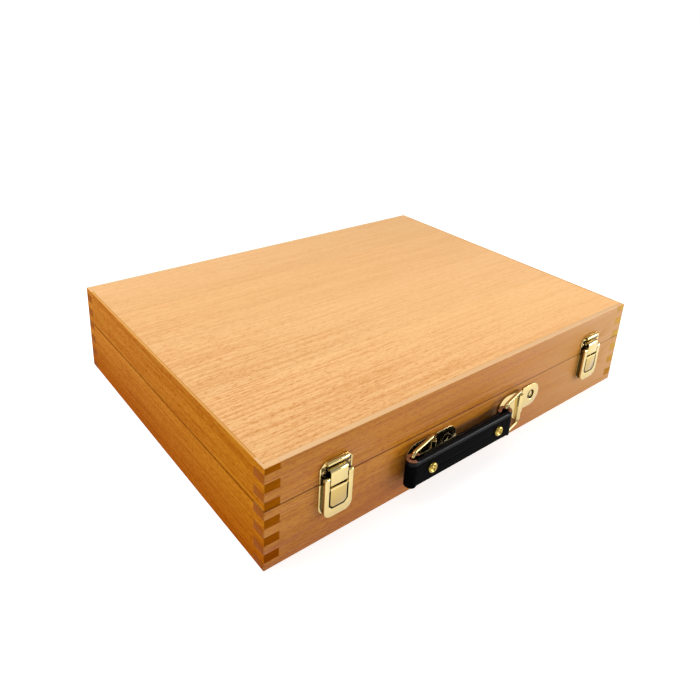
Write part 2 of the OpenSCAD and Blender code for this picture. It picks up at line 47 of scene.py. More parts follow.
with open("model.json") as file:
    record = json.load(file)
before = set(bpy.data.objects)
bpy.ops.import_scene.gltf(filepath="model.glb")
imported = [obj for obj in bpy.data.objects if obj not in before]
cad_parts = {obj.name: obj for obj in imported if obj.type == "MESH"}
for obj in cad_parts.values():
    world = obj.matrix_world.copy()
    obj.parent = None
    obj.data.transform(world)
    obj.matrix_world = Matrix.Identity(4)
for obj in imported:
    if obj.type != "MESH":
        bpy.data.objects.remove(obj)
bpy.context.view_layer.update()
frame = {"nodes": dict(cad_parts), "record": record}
BODY_OF = {
    node: body for body, nodes in frame["record"]["behaviour"]["bodies"].items() for node in nodes
}
MM = 0.001
WELD = 0.000002  # corners nearer than this, in metres, are one corner


def both_sides(kind, *pieces):
    """Node names of a fitting's pieces, the left fitting's first."""
    return tuple(f"{kind}_{side}_{piece}" for side in ("left", "right") for piece in pieces)


BOARDS_ALONG_X = ("base_front", "base_back", "lid_front", "lid_back")
BOARDS_ALONG_Y = ("base_left", "base_right", "lid_left", "lid_right")
PANELS = ("bottom_panel", "lid_panel")
CROSS_DIVIDERS = ("cross_divider_left", "cross_divider_right")
LATCH_SHEETS = both_sides("latch", "plate", "lever", "hook", "keeper")
LATCH_PINS = both_sides("latch", "lever_pin", "hook_pin")
HINGE_PIECES = both_sides("hinge", "base_leaf", "lid_leaf", "pin")
HANDLE_PLATES = both_sides("handle", "plate")
HANDLE_RINGS = both_sides("handle", "ring")


def extent(node, axis):
    """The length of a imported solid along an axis, in millimetres."""
    low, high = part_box(node)
    return round((high[axis] - low[axis]) / MM, 2)


# ---- Node maths ----


class Wire:
    """An output of a node tree. Arithmetic on a number adds Math nodes."""

    def __init__(self, graph, socket):
        self.graph = graph
        self.socket = socket

    def _math(self, operation, *values):
        sockets = dict(enumerate(values))
        return self.graph.node("ShaderNodeMath", {"operation": operation}, sockets).out(0)

    def __add__(self, other):
        return self._math("ADD", self, other)

    def __sub__(self, other):
        return self._math("SUBTRACT", self, other)

    def __rsub__(self, other):
        return self._math("SUBTRACT", other, self)

    def __mul__(self, other):
        return self._math("MULTIPLY", self, other)

    def __truediv__(self, other):
        return self._math("DIVIDE", self, other)

    def __gt__(self, other):
        return self._math("GREATER_THAN", self, other)

    def __lt__(self, other):
        return self._math("LESS_THAN", self, other)

    def __neg__(self):
        return self._math("MULTIPLY", self, -1.0)

    def __abs__(self):
        return self._math("ABSOLUTE", self)

    __radd__ = __add__
    __rmul__ = __mul__

    def rounded(self):
        """The nearest whole number."""
        return self._math("ROUND", self)

    def bigger(self, other):
        """The bigger of self and another value."""
        return self._math("MAXIMUM", self, other)

    def cosine(self):
        """Cosine of an angle in radians."""
        return self._math("COSINE", self)

    def sine(self):
        """Sine of an angle in radians."""
        return self._math("SINE", self)

    def between(self, low, high):
        """0 below low, 1 above high and smooth from one to the other."""
        settings = {"interpolation_type": "SMOOTHSTEP"}
        sockets = {"Value": self, "From Min": low, "From Max": high}
        return self.graph.node("ShaderNodeMapRange", settings, sockets).out("Result")


class Added:
    """A node that Graph.node has added."""

    def __init__(self, graph, node):
        self.graph = graph
        self.node = node

    def out(self, name):
        """One of the node's outputs, as a Wire."""
        return Wire(self.graph, self.node.outputs[name])


class Graph:
    """A node tree whose nodes are added from Python expressions."""

    def __init__(self, tree):
        self.tree = tree

    def node(self, kind, settings=None, sockets=None):
        """Adds any node: its settings first, then the values or links of its sockets."""
        node = self.tree.nodes.new(kind)
        for key, value in (settings or {}).items():
            if key == "choices":
                for _ in range(value - len(node.index_switch_items)):
                    node.index_switch_items.new()
            else:
                setattr(node, key, value)
        for key, value in (sockets or {}).items():
            self.plug(node.inputs[key], value)
        return Added(self, node)

    def plug(self, socket, value):
        """Sets a socket to a constant or links a Wire to it."""
        if isinstance(value, Wire):
            self.tree.links.new(value.socket, socket)
        elif hasattr(value, "__len__") and len(value) == 3 and len(socket.default_value) == 4:
            socket.default_value = (*value, 1.0)
        else:
            socket.default_value = value

    def split(self, vector):
        """The three parts of a vector."""
        parts = self.node("ShaderNodeSeparateXYZ", None, {"Vector": vector})
        return parts.out("X"), parts.out("Y"), parts.out("Z")

    def joined(self, x, y, z):
        """A vector of three parts."""
        return self.node("ShaderNodeCombineXYZ", None, {"X": x, "Y": y, "Z": z}).out(0)


class Shader(Graph):
    """A material whose nodes are added from Python expressions."""

    def __init__(self, name):
        self.material = bpy.data.materials.new(name)
        self.material.use_nodes = True
        super().__init__(self.material.node_tree)
        self.surface = self.tree.nodes["Principled BSDF"]
        self.coordinates = self.node("ShaderNodeTexCoord")
        self.colour = None  # a metal's colour before the painted shade of darkened is laid on it

    def finish(self, **values):
        """Sets or links sockets of the surface shader; underscores stand for spaces."""
        for key, value in values.items():
            self.plug(self.surface.inputs[key.replace("_", " ")], value)

    def place(self):
        """The three parts of the position in the object, in metres."""
        return self.split(self.coordinates.out("Object"))

    def facing(self):
        """The three parts of the direction in which the surface looks."""
        return self.split(self.coordinates.out("Normal"))

    def stretched(self, scale, shift=(0.0, 0.0, 0.0)):
        """The position in the object, scaled along each axis."""
        sockets = {"Vector": self.coordinates.out("Object"), "Scale": scale, "Location": shift}
        return self.node("ShaderNodeMapping", None, sockets).out("Vector")

    def noise(self, scale, shift=(0.0, 0.0, 0.0), detail=2.0, roughness=0.5, distortion=0.0):
        """Noise from 0 to 1, with scale waves in a metre along each axis."""
        sockets = {
            "Vector": self.stretched(scale, shift), "Scale": 1.0, "Detail": detail,
            "Roughness": roughness, "Distortion": distortion,
        }
        return self.node("ShaderNodeTexNoise", None, sockets).out(0)

    def cells(self, feature, scale, shift=(0.0, 0.0, 0.0), **values):
        """Distance to the middle of the nearest of many scattered cells."""
        sockets = {"Vector": self.stretched(scale, shift), "Scale": 1.0, **values}
        return self.node("ShaderNodeTexVoronoi", {"feature": feature}, sockets).out("Distance")

    def blend(self, amount, first, second, mode="MIX"):
        """Mixes two colours by an amount."""
        settings = {"data_type": "RGBA", "blend_type": mode, "clamp_factor": True}
        sockets = {0: amount, 6: first, 7: second}
        return self.node("ShaderNodeMix", settings, sockets).out(2)

    def shade(self, colour, amount, strength):
        """Multiplies a colour by 1 - strength where amount is 1."""
        return self.stain(colour, amount, (1.0 - strength,) * 3)

    def stain(self, colour, amount, tint):
        """Multiplies a colour by a tint where amount is 1."""
        return self.blend(amount, colour, self.blend(1.0, colour, tint, "MULTIPLY"))

    def bump(self, height, distance, strength):
        """Feeds a height, in metres times distance, to the surface's normal."""
        sockets = {"Height": height, "Distance": distance, "Strength": strength}
        self.finish(Normal=self.node("ShaderNodeBump", None, sockets).out(0))


# ---- Wood ----


# Joints between the panels' strips, as the place along Y in metres and the change of tone.
STRIP_JOINTS = ((-0.067, 0.035), (0.007, 0.02), (0.083, 0.035))
# What is left of the wood's colour in the strips' joints, under the painted shade that deepens
# the side boards towards the front, and in the seam between a side board's upper edge and the panel.
STRIP_SEAM = (0.93, 0.88, 0.8)
SIDE_SHADE_TINT = (0.96, 0.90, 0.25)
PANEL_SEAM = (0.78, 0.66, 0.5)
BOARD_FIGURE = 1.25  # how strong the boards' figure is beside the panels'
LEVEL_FACE = (0.5, 0.9)  # how far a face looks up before and once it counts as level


class CaseBoard:
    """Marks that a board's material gets from its place in the case.

    along and aside are the distances from the case's middle along the board and across it,
    half_along and outer are the case's own there, and fingers is 1 at the corner joints."""

    def __init__(self, shader, settings, grain):
        self.shader, self.settings, self.grain = shader, settings, grain
        self.x, self.y, self.z = shader.place()
        self.along, self.aside = abs(self.x), abs(self.y)
        self.half_along, self.outer = settings.case_width * MM / 2, settings.case_depth * MM / 2
        if grain == "Y":
            self.along, self.aside = self.aside, self.along
            self.half_along, self.outer = self.outer, self.half_along
        self.wall = settings.wall * MM
        self.inside = 1.0 - (self.aside - (self.outer - self.wall)).between(0.0003, 0.0010)
        self.fingers = self.along + self.wall > self.half_along

    def marked(self, colour, lit_edge_colour, foot):
        """The colour with seams, the saw cut with painted shade in its gap, painted shade towards the
        foot and the side boards' front, painted light towards the front boards' right end, and the upper
        edge with painted light.
        """
        shader, settings = self.shader, self.settings
        looks_up = shader.facing()[2]
        outer_face = 1.0 - self.inside
        brown = settings.mark_and_shade_tint[:]

        step = self.z / (settings.finger_height * MM)
        level = abs(step - step.rounded()) * (settings.finger_height * MM)
        glue = (1.0 - level.between(0.0001, 0.0004)) * self.fingers
        colour = shader.stain(colour, glue * settings.seam_strength, brown)

        cut = abs(self.z - settings.parting * MM)
        fresh = abs(looks_up).between(*LEVEL_FACE) * (self.outer - self.aside).between(0.0010, 0.0022)
        # Painted shade: faces along the cut between lid and base are darkened, where shade falls into the
        # gap.
        worn = (1.0 - cut.between(0.0003, settings.parting_width * MM)) * (1.0 - fresh)
        colour = shader.stain(colour, worn, settings.parting_shade_tint[:])

        # Painted shade: the outer faces grow darker and deeper towards the foot.
        colour = shader.stain(colour, (1.0 - self.z.between(0.0, 0.045)) * outer_face * foot, brown)
        if self.grain == "X":
            # Painted light: the front and back boards turn paler towards their right end, where more
            # light falls.
            paler = self.x.between(-0.02, 0.2) * outer_face * settings.front_light_share
            colour = shader.blend(paler, colour, settings.front_lit_end[:])
        else:
            # Painted shade: the side boards' outer faces turn deeper and more yellow towards the front,
            # as the back gets more light.
            painted_side_shade = (1.0 - self.y.between(-0.16, 0.08)) * outer_face * settings.side_shade
            colour = shader.stain(colour, painted_side_shade, SIDE_SHADE_TINT)
        sawn = fresh * (cut < 0.0006) * (1.0 - self.inside * 0.5)
        colour = shader.blend(sawn * settings.sawn_share, colour, settings.side_lit_rim[:])

        # Painted light: upward faces at the boards' top take a lighter colour, standing in for the top
        # light on them and on the arris.
        rim = looks_up.between(*LEVEL_FACE) * (self.z > settings.case_height * MM - 0.0015)
        edge = shader.blend(self.fingers, lit_edge_colour, settings.front_lit_rim[:])
        if self.grain == "Y":
            seat = (settings.case_width / 2 - settings.side_lip) * MM
            beside = 1.0 - (self.aside - seat).between(0.0002, 0.0008)
            edge = shader.stain(edge, beside * (1.0 - self.fingers), PANEL_SEAM)
        return shader.blend(rim * settings.lit_rim_share, colour, edge)


def beech(name, settings, grain, tones, seed, gloss, foot=0.0, strips=False, case_board=False):
    """Oiled beech: growth lines, pores and ray flecks along the grain, end grain across it.

    tones are the colours of the clear wood, its darker streaks, its end grain and its upper edge, whose
    colour is painted light."""
    shader = Shader(name)
    clear, streak, end_grain, lit_edge_colour = tones
    shift = (seed * 1.7, seed * 2.3, seed * 0.9)
    x, y, _ = shader.place()

    def drawn(length, width):
        """A pattern's scale along the grain and across it, as a scale along each axis."""
        return (length, width, width) if grain == "X" else (width, length, width)

    def along(length, width, **values):
        """Noise with length waves in a metre along the grain and width waves across it."""
        return shader.noise(drawn(length, width), shift, **values)

    broad = along(1.4, 12.0)
    waves = along(4.0, 90.0, detail=3.0, distortion=0.6)
    lines = along(11.0, 520.0, distortion=0.25)
    pores = along(210.0, 1100.0, roughness=0.6)
    mottle = along(60.0, 130.0, detail=3.0, roughness=0.65)
    flecks = 1.0 - shader.cells("F1", drawn(190.0, 760.0), shift, Randomness=1.0).between(0.12, 0.30)
    figure = BOARD_FIGURE
    if strips:
        figure = 1.0 - (x * 0.8 + y).between(-0.24, 0.02) * settings.panel_fade

    colour = shader.blend(broad.between(0.3, 0.7), clear, streak)
    if case_board:
        board = CaseBoard(shader, settings, grain)
        # The inner faces are blended back towards the panel colour, out of the painted shade laid in the
        # boards' colours.
        colour = shader.blend(board.inside * settings.inside_share, colour, settings.panel_colour[:])
    for mark, strength in (
        (waves.between(0.4, 0.75), settings.wave_strength),
        (lines.between(0.44, 0.62) * figure, settings.line_strength),
        (pores.between(0.50, 0.66) * figure, settings.pore_strength),
        (mottle.between(0.4, 0.7), settings.mottle_strength),
        (flecks * figure, settings.fleck_strength),
    ):
        colour = shader.stain(colour, mark * strength, settings.mark_and_shade_tint[:])
    if strips:
        for place, tone in STRIP_JOINTS:
            colour = shader.shade(colour, y > place, tone)
            colour = shader.stain(colour, 1.0 - abs(y - place).between(0.0001, 0.0006), STRIP_SEAM)

    normal_x, normal_y, _ = shader.facing()
    ends = abs(normal_x if grain == "X" else normal_y).between(0.75, 0.97)
    rings = shader.noise((160.0, 160.0, 620.0), shift, detail=3.0)
    speckle = shader.noise((1500.0, 1500.0, 1500.0), shift, detail=1.0)
    across = shader.blend(rings.between(0.35, 0.7), end_grain, tuple(0.84 * part for part in end_grain))
    across = shader.shade(across, speckle.between(0.5, 0.75), 0.12)
    colour = shader.blend(ends, colour, across)

    if case_board:
        colour = board.marked(colour, lit_edge_colour, foot)
    shader.finish(
        Base_Color=colour,
        Roughness=0.6 + (waves - 0.5) * 0.12 + (broad - 0.5) * 0.1,
        Coat_Weight=(1.0 - ends) * gloss,
        Coat_Roughness=settings.wood_roughness,
        Coat_IOR=1.33,
        Specular_IOR_Level=0.02 if gloss else 0.0,
    )
    shader.bump(lines * 0.6 + pores * 0.4 - flecks * 0.3, 0.00005, 0.5)
    return shader.material


# ---- Metal and leather ----


def brass(name, settings, tint=None, roughness=None):
    """Plated brass with faint polishing marks and a few duller patches."""
    shader = Shader(name)
    patches = shader.noise((140.0, 140.0, 140.0), detail=3.0)
    marks = shader.noise((900.0, 900.0, 60.0))
    tint, roughness = tint or settings.colour[:], roughness or settings.roughness
    dull = patches.between(0.5, 0.75) * settings.tarnish
    shader.colour = shader.blend(dull, tint, settings.tarnish_colour[:])
    shader.finish(
        Base_Color=shader.colour,
        Roughness=roughness + (patches - 0.5) * 0.10 + (marks - 0.5) * 0.06,
        Metallic=1.0,
    )
    shader.bump(patches * 0.9 + marks * 0.1, 0.00010, 0.25)
    return shader


def darkened(shader, settings, amount):
    """Lays the dark brass colour where amount is 1, and returns its material. The callers lay painted
    shade and dark reflection with it, and paint the lever's engraved line.
    """
    shader.finish(Base_Color=shader.blend(amount, shader.colour, settings.brass_dark_colour[:]))
    return shader.material


def frontward(shader, full=0.6):
    """1 where the surface looks to the front of the case, and full says how squarely."""
    return (-shader.facing()[1]).between(0.35, full)


def seat_brass(name, settings):
    """Plate brass whose screw seats, sunk behind the plates' face, carry painted shade and dark
    reflection.
    """
    shader = brass(name, settings)
    sunk = shader.place()[1] + settings.plate_face * MM
    return darkened(shader, settings, sunk.between(0.0001, settings.pit * MM) * frontward(shader))


def screw_brass(name, settings):
    """Screw brass that is bright on the crown, with painted shade and dark reflection towards its rim and
    in its slot.
    """
    shader = brass(name, settings)
    sunk = shader.place()[1] + settings.plate_face * MM
    return darkened(shader, settings, sunk.between(0.0002, settings.crown * MM) * 0.95)


def wire_brass(name, settings):
    """Ring wire whose front carries a painted dark reflection, so that it is darker than its edges."""
    shader = brass(name, settings)
    return darkened(shader, settings, frontward(shader, 0.8) * settings.wire_dark_reflection)


def lever_brass(name, settings, low, high):
    """Lever brass: the engraved line is painted dark, and painted shade deepens towards the plate."""
    shader = brass(name, settings)
    x, y, z = shader.place()
    beside = abs(x - (low[0] + high[0]) / 2) - settings.line_half * MM
    below = low[2] + settings.line_up * MM - z
    corner = (beside + below + settings.line_corner * MM) * math.sqrt(0.5)
    outside = beside.bigger(below).bigger(corner)
    width = settings.line_width * MM
    reach = z < low[2] + settings.line_top * MM
    line = (1.0 - abs(outside).between(0.7 * width, 1.3 * width)) * reach
    shader.colour = shader.stain(shader.colour, (outside < 0.0) * reach, settings.inner_tint[:])
    # Painted shade: faces further behind the lever's face darken towards the plate, where the gap's shade
    # falls.
    deep = (y - low[1]).between(0.0007, 0.0022) * 0.92
    return darkened(shader, settings, deep.bigger(line))


def keeper_brass(name, settings, low, high):
    """Keeper brass: painted shade and dark reflection on the plate round the hook, inside a border left
    bright.
    """
    shader = brass(name, settings)
    x, _, z = shader.place()
    half, border, roll = (high[0] - low[0]) / 2, settings.border * MM, settings.roll * MM
    aside = abs(x - (low[0] + high[0]) / 2)
    inside = 1.0 - aside.between(half - 1.3 * border, half - 0.7 * border)
    under = 1.0 - z.between(high[2] - 1.1 * roll, high[2] - 0.9 * roll)
    cloud = shader.noise((420.0, 420.0, 420.0)).between(0.22, 0.4)
    # Painted shade and dark reflection round the hook, under the roll.
    return darkened(shader, settings, inside * under * frontward(shader) * cloud * 0.95)


def hook_brass(name, settings, low, high):
    """Hook brass with fine ribs across its bend, painted as stripes of shade."""
    shader = brass(name, settings)
    _, y, z = shader.place()
    bend = z.between(high[2] - 0.0016, high[2] - 0.0008)
    # Painted shade: dark stripes across the bend stand for the shade between ribs.
    ribs = ((y - low[1]) * (2.0 * math.pi / (settings.rib_pitch * MM))).sine().between(-0.2, 0.6)
    return darkened(shader, settings, bend * ribs * 0.55)


def leather(name, settings, top):
    """Black dyed strap leather whose cut edges stay tan where the attribute raw is 1.

    top is the height of the strap's upper edge, which is burnished."""
    shader = Shader(name)
    raw = shader.node("ShaderNodeAttribute", {"attribute_name": "raw"}).out("Fac")
    pebbles = shader.cells("SMOOTH_F1", (1400.0, 1400.0, 1400.0), Smoothness=0.6)
    creases = shader.noise((60.0, 400.0, 400.0), detail=4.0, roughness=0.6)
    fibres = shader.noise((500.0, 500.0, 1800.0), detail=3.0)
    black = shader.blend(creases.between(0.4, 0.8), settings.black[:], settings.worn[:])
    tan = shader.blend(fibres.between(0.35, 0.7), settings.cut_edge[:], settings.cut_edge_dark[:])
    tan = shader.shade(tan, creases.between(0.6, 0.8), 0.15)
    roll = settings.roll * MM
    upper = shader.place()[2].between(top - 1.7 * roll, top - 0.9 * roll)
    shader.finish(
        Base_Color=shader.blend(raw.between(0.35, 0.65), black, tan),
        Roughness=settings.roughness + (creases - 0.5) * 0.2 + raw * 0.3,
        Coat_Weight=upper * (1.0 - raw) * settings.burnish,
        Coat_Roughness=0.28,
        Coat_IOR=1.4,
        Coat_Tint=settings.shine[:],
        Specular_IOR_Level=0.006,
    )
    shader.bump(pebbles * 0.5 + creases * 0.9 + fibres * raw * 0.5, 0.00018, 0.5)
    return shader.material


def plain_floor(name, colour, glow):
    """Matte pale floor that glows a little, as a lit table does."""
    shader = Shader(name)
    shader.finish(
        Base_Color=colour, Roughness=0.9, Specular_IOR_Level=0.1,
        Emission_Color=(1.0, 1.0, 1.0), Emission_Strength=glow,
    )
    return shader.material


# ---- Mesh helpers ----


def merged(node):
    """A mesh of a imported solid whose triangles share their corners."""
    mesh = bmesh.new()
    mesh.from_mesh(frame["nodes"][node].data)
    bmesh.ops.remove_doubles(mesh, verts=mesh.verts, dist=WELD)
    return mesh


def dressed_copy(node, material, edge=0.0, angle=30.0):
    """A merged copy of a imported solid, with edges sharper than angle softened."""
    mesh = merged(node)
    bmesh.ops.dissolve_limit(
        mesh, angle_limit=math.radians(0.5), verts=mesh.verts, edges=mesh.edges
    )
    bmesh.ops.recalc_face_normals(mesh, faces=mesh.faces)
    if edge:
        sharp = [
            line for line in mesh.edges
            if len(line.link_faces) == 2 and line.calc_face_angle() > math.radians(angle)
        ]
        bmesh.ops.bevel(
            mesh, geom=sharp, offset=edge, offset_type="OFFSET", segments=2,
            profile=0.5, affect="EDGES", clamp_overlap=True,
        )
    data = bpy.data.meshes.new(node + "_dressed")
    mesh.to_mesh(data)
    mesh.free()
    return finished_piece(node, node + "_dressed", data, material, 38.0)


def finished_piece(node, name, data, material, sharp_angle):
    """Makes an object of a mesh, which stands for a node and rides on its body."""
    obj = bpy.data.objects.new(name, data)
    bpy.context.collection.objects.link(obj)
    for face in data.polygons:
        face.use_smooth = True
    data.set_sharp_from_angle(angle=math.radians(sharp_angle))
    data.materials.clear()
    data.materials.append(material)
    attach(obj, BODY_OF[node])
    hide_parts(node)
    return obj


# ---- Fasteners ----

SCREW_SIDES, NAIL_SIDES, RIVET_SIDES = 32, 24, 40
SLOT_RUN = 2.4  # a slot's length beside its head's radius, so that it runs out on both sides
SOFT_RIM, HEAD_RIM = 0.00005, 0.0002  # rounding and height of a flat head's rim, in metres


class Turned(Graph):
    """A Geometry Nodes tree that turns one small part and sets it on every point.

    Each point's attribute aim is the way that the part's head faces, and its attribute
    across is the way that the slot runs."""

    def __init__(self, name, sizes):
        super().__init__(bpy.data.node_groups.new(name, "GeometryNodeTree"))
        sockets = self.tree.interface
        sockets.new_socket("Points", in_out="INPUT", socket_type="NodeSocketGeometry")
        sockets.new_socket("Fasteners", in_out="OUTPUT", socket_type="NodeSocketGeometry")
        kinds = {label: "NodeSocketFloat" for label in sizes}
        kinds["Finish"] = "NodeSocketMaterial"
        self.keys = {
            label: sockets.new_socket(label, in_out="INPUT", socket_type=kind).identifier
            for label, kind in kinds.items()
        }
        self.entry = self.node("NodeGroupInput")
        self.sizes = sizes

    def given(self):
        """The tree's sizes, as Wires, in the order in which they were named."""
        return [self.entry.out(label) for label in self.sizes]

    def pick(self, row, values):
        """The value of a row out of a list of numbers and Wires."""
        settings = {"data_type": "FLOAT", "choices": len(values)}
        return self.node("GeometryNodeIndexSwitch", settings, dict(enumerate([row, *values]))).out(0)

    def lathe(self, outline, segments):
        """A closed solid turned round Z, from (radius, height) stops that run from top to bottom."""
        rows = len(outline)
        unit = {"Size X": 1.0, "Size Y": 1.0, "Vertices X": segments + 1, "Vertices Y": rows}
        grid = self.node("GeometryNodeMeshGrid", None, unit)
        x, y, _ = self.split(self.node("GeometryNodeInputPosition").out(0))
        row = (y + 0.5) * (rows - 1) + 0.25
        radius = self.pick(row, [stop[0] for stop in outline])
        height = self.pick(row, [stop[1] for stop in outline])
        angle = (x + 0.5) * (-2.0 * math.pi)
        place = self.joined(radius * angle.cosine(), radius * angle.sine(), height)
        moved = {"Geometry": grid.out("Mesh"), "Position": place}
        turned = self.node("GeometryNodeSetPosition", None, moved)
        merge = {"Geometry": turned.out(0), "Distance": WELD / 2}
        return self.node("GeometryNodeMergeByDistance", None, merge).out(0)

    def slotted(self, solid, top, length, width, depth):
        """The solid with a straight slot cut across its top."""
        size = self.joined(length, width, depth * 2.0)
        cutter = self.node("GeometryNodeMeshCube", None, {"Size": size}).out("Mesh")
        lifted = {"Geometry": cutter, "Translation": self.joined(0.0, 0.0, top)}
        moved = self.node("GeometryNodeTransform", None, lifted).out(0)
        settings = {"operation": "DIFFERENCE", "solver": "EXACT"}
        meshes = {"Mesh 1": solid, "Mesh 2": moved}
        return self.node("GeometryNodeMeshBoolean", settings, meshes).out("Mesh")

    def vector(self, name):
        """A vector attribute of the points."""
        settings = {"data_type": "FLOAT_VECTOR"}
        return self.node("GeometryNodeInputNamedAttribute", settings, {"Name": name}).out(0)

    def set_on_points(self, solid):
        """Sets the solid on every point and ends the tree."""
        head = {"Vector": self.vector("aim")}
        upright = self.node("FunctionNodeAlignRotationToVector", {"axis": "Z"}, head)
        turned = self.node(
            "FunctionNodeAlignRotationToVector", {"axis": "X", "pivot_axis": "Z"},
            {"Rotation": upright.out(0), "Vector": self.vector("across")},
        )
        sockets = {"Points": self.entry.out("Points"), "Instance": solid, "Rotation": turned.out(0)}
        placed = self.node("GeometryNodeInstanceOnPoints", None, sockets)
        real = self.node("GeometryNodeRealizeInstances", None, {"Geometry": placed.out(0)})
        finish = {"Geometry": real.out(0), "Material": self.entry.out("Finish")}
        dressed = self.node("GeometryNodeSetMaterial", None, finish)
        self.node("NodeGroupOutput", None, {"Fasteners": dressed.out(0)})


def dome(radius, low, rise, steps=6):
    """Stops of a dome from its top to its rim."""
    turns = [math.radians(90.0 * step / steps) for step in range(steps + 1)]
    return [(radius * math.sin(turn), low + rise * math.cos(turn)) for turn in turns]


def raised_screw():
    """Wood screw whose domed head lies deep in its seat."""
    sizes = (
        "Head radius", "Head sink", "Head rise", "Shank radius", "Length", "Slot width", "Slot depth",
    )
    tree = Turned("raised_screw", sizes)
    head, sink, rise, shank, length, slot_width, slot_depth = tree.given()
    neck = -(sink + head - shank)
    outline = dome(head, -sink, rise) + [(shank, neck), (shank, -length), (0.0, -length)]
    body = tree.lathe(outline, SCREW_SIDES)
    tree.set_on_points(tree.slotted(body, rise - sink, head * SLOT_RUN, slot_width, slot_depth))
    return tree


def flat_screw():
    """Wood screw whose flat head lies level with the metal round it."""
    sizes = ("Head radius", "Shank radius", "Length", "Slot width", "Slot depth")
    tree = Turned("flat_screw", sizes)
    head, shank, length, slot_width, slot_depth = tree.given()
    outline = [
        (0.0, 0.0), (head - HEAD_RIM, 0.0), (head - SOFT_RIM, -SOFT_RIM), (head - SOFT_RIM, -HEAD_RIM),
        (shank, shank - head), (shank, -length), (0.0, -length),
    ]
    body = tree.lathe(outline, SCREW_SIDES)
    tree.set_on_points(tree.slotted(body, 0.0, head * SLOT_RUN, slot_width, slot_depth))
    return tree


def round_nail():
    """Small nail with a round head."""
    tree = Turned("round_nail", ("Head radius", "Head height", "Shank radius", "Length"))
    head, rise, shank, length = tree.given()
    outline = dome(head, 0.0, rise, 5) + [(shank, 0.0), (shank, -length), (0.0, -length)]
    tree.set_on_points(tree.lathe(outline, NAIL_SIDES))
    return tree


def cap_rivet():
    """Rivet: a pressed cap with a raised ring and a dimple, a shank and a flat back."""
    sizes = ("Cap radius", "Cap height", "Shank radius", "Grip", "Back radius", "Back thickness")
    tree = Turned("cap_rivet", sizes)
    cap, rise, shank, grip, back, back_thickness = tree.given()
    pressed = (  # the cap's outline, as shares of its radius and height
        (0.0, 0.66), (0.12, 0.64), (0.2, 0.5), (0.26, 0.36), (0.36, 0.36), (0.46, 0.5), (0.54, 0.76),
        (0.64, 0.94), (0.74, 1.0), (0.84, 0.92), (0.93, 0.66), (0.99, 0.3), (1.0, 0.0),
    )
    foot = -grip
    tail = foot - back_thickness
    outline = [(cap * out, rise * up) for out, up in pressed]
    outline += [(shank, 0.0), (shank, foot), (back, foot), (back, tail), (0.0, tail)]
    tree.set_on_points(tree.lathe(outline, RIVET_SIDES))
    return tree


def fastener_places(node, aim):
    """Where the heads of a node's fasteners end, one for each of its separate solids."""
    mesh = merged(node)
    waiting = set(mesh.verts)
    places = []
    while waiting:
        heap, corners = [waiting.pop()], []
        while heap:
            vertex = heap.pop()
            corners.append(vertex.co.copy())
            for edge in vertex.link_edges:
                other = edge.other_vert(vertex)
                if other in waiting:
                    waiting.remove(other)
                    heap.append(other)
        low = Vector([min(corner[axis] for corner in corners) for axis in range(3)])
        high = Vector([max(corner[axis] for corner in corners) for axis in range(3)])
        half = (high - low) / 2
        places.append((low + high) / 2 + aim * abs(half.dot(aim)))
    mesh.free()
    return sorted(places, key=lambda place: (round(place.x, 5), round(place.z, 5)))


def set_fasteners(node, tree, sizes, aim, turns, seat, material):
    """Makes a node's fasteners with a tree and lets the plain mesh stand for the node.

    sizes are in millimetres. turns are the slots' angles in degrees, in the order of the
    places along X, and seat is how far the part's own zero lies below the head's end."""
    aim = Vector(aim)
    side = Vector((0.0, 0.0, 1.0)).cross(aim) if abs(aim.z) < 0.5 else Vector((1.0, 0.0, 0.0))
    places = fastener_places(node, aim)
    points = bpy.data.meshes.new(node + "_points")
    points.from_pydata([place - aim * seat * MM for place in places], [], [])
    ways = {"aim": [], "across": []}
    for number in range(len(places)):
        turn = math.radians(turns[number % len(turns)])
        ways["aim"].extend(aim)
        ways["across"].extend(side * math.cos(turn) + aim.cross(side) * math.sin(turn))
    for name, values in ways.items():
        points.attributes.new(name, "FLOAT_VECTOR", "POINT").data.foreach_set("vector", values)
    carrier = bpy.data.objects.new(node + "_points", points)
    bpy.context.collection.objects.link(carrier)
    modifier = carrier.modifiers.new("fasteners", "NODES")
    modifier.node_group = tree.tree
    for label, value in zip(tree.sizes, sizes):
        modifier[tree.keys[label]] = value * MM
    modifier[tree.keys["Finish"]] = material
    evaluated = carrier.evaluated_get(bpy.context.evaluated_depsgraph_get())
    data = bpy.data.meshes.new_from_object(evaluated)
    carrier.modifiers.remove(modifier)
    bpy.data.objects.remove(carrier)
    for name in ways:
        if name in data.attributes:
            data.attributes.remove(data.attributes[name])
    if len(data.polygons) < len(places):
        raise RuntimeError(f"{node}: the tree made no fasteners")
    return finished_piece(node, node + "_turned", data, material, 32.0)


# ---- Strap ----

# Steps and places along the leather and across it, in millimetres and degrees.
FRONT_STEPS = 60  # steps along the front layer
LOOP_STEPS = 26  # steps round a loop
LOOP_TURN = 200.0  # how far the leather turns round a ring before it runs back
RETURN_STEPS = 14  # steps from a loop to the back layer
RETURN_END = 2.0  # how far past the loop's run the back layer lies straight again
BACK_STEPS = 12  # steps along half of the back layer
FRONT_CHANGE = (-1.5, 1.0)  # where the front's rolled edge turns into the loop's, from its middle
BACK_CHANGE = (-9.0, -6.0)  # the same on the back layer
FRONT_REACH = 0.2  # how far behind its middle line the front layer still counts as front
LEAVING, ARRIVING = 0.35, 0.4  # how long the curve back keeps its first and its last direction
GROOVE_STEPS = (-1.6, -1.0, -0.6, -0.3, 0.0, 0.3, 0.6, 1.0, 1.6)
GROOVE_WIDTH = 0.45
GROOVE_ENDS = (-6.5, -3.0)  # where the pressed line ends before a rivet
CREASE_STEPS = (-1.2, -0.7, -0.35, 0.0, 0.35, 0.7)
CREASE_WIDTH = 0.35
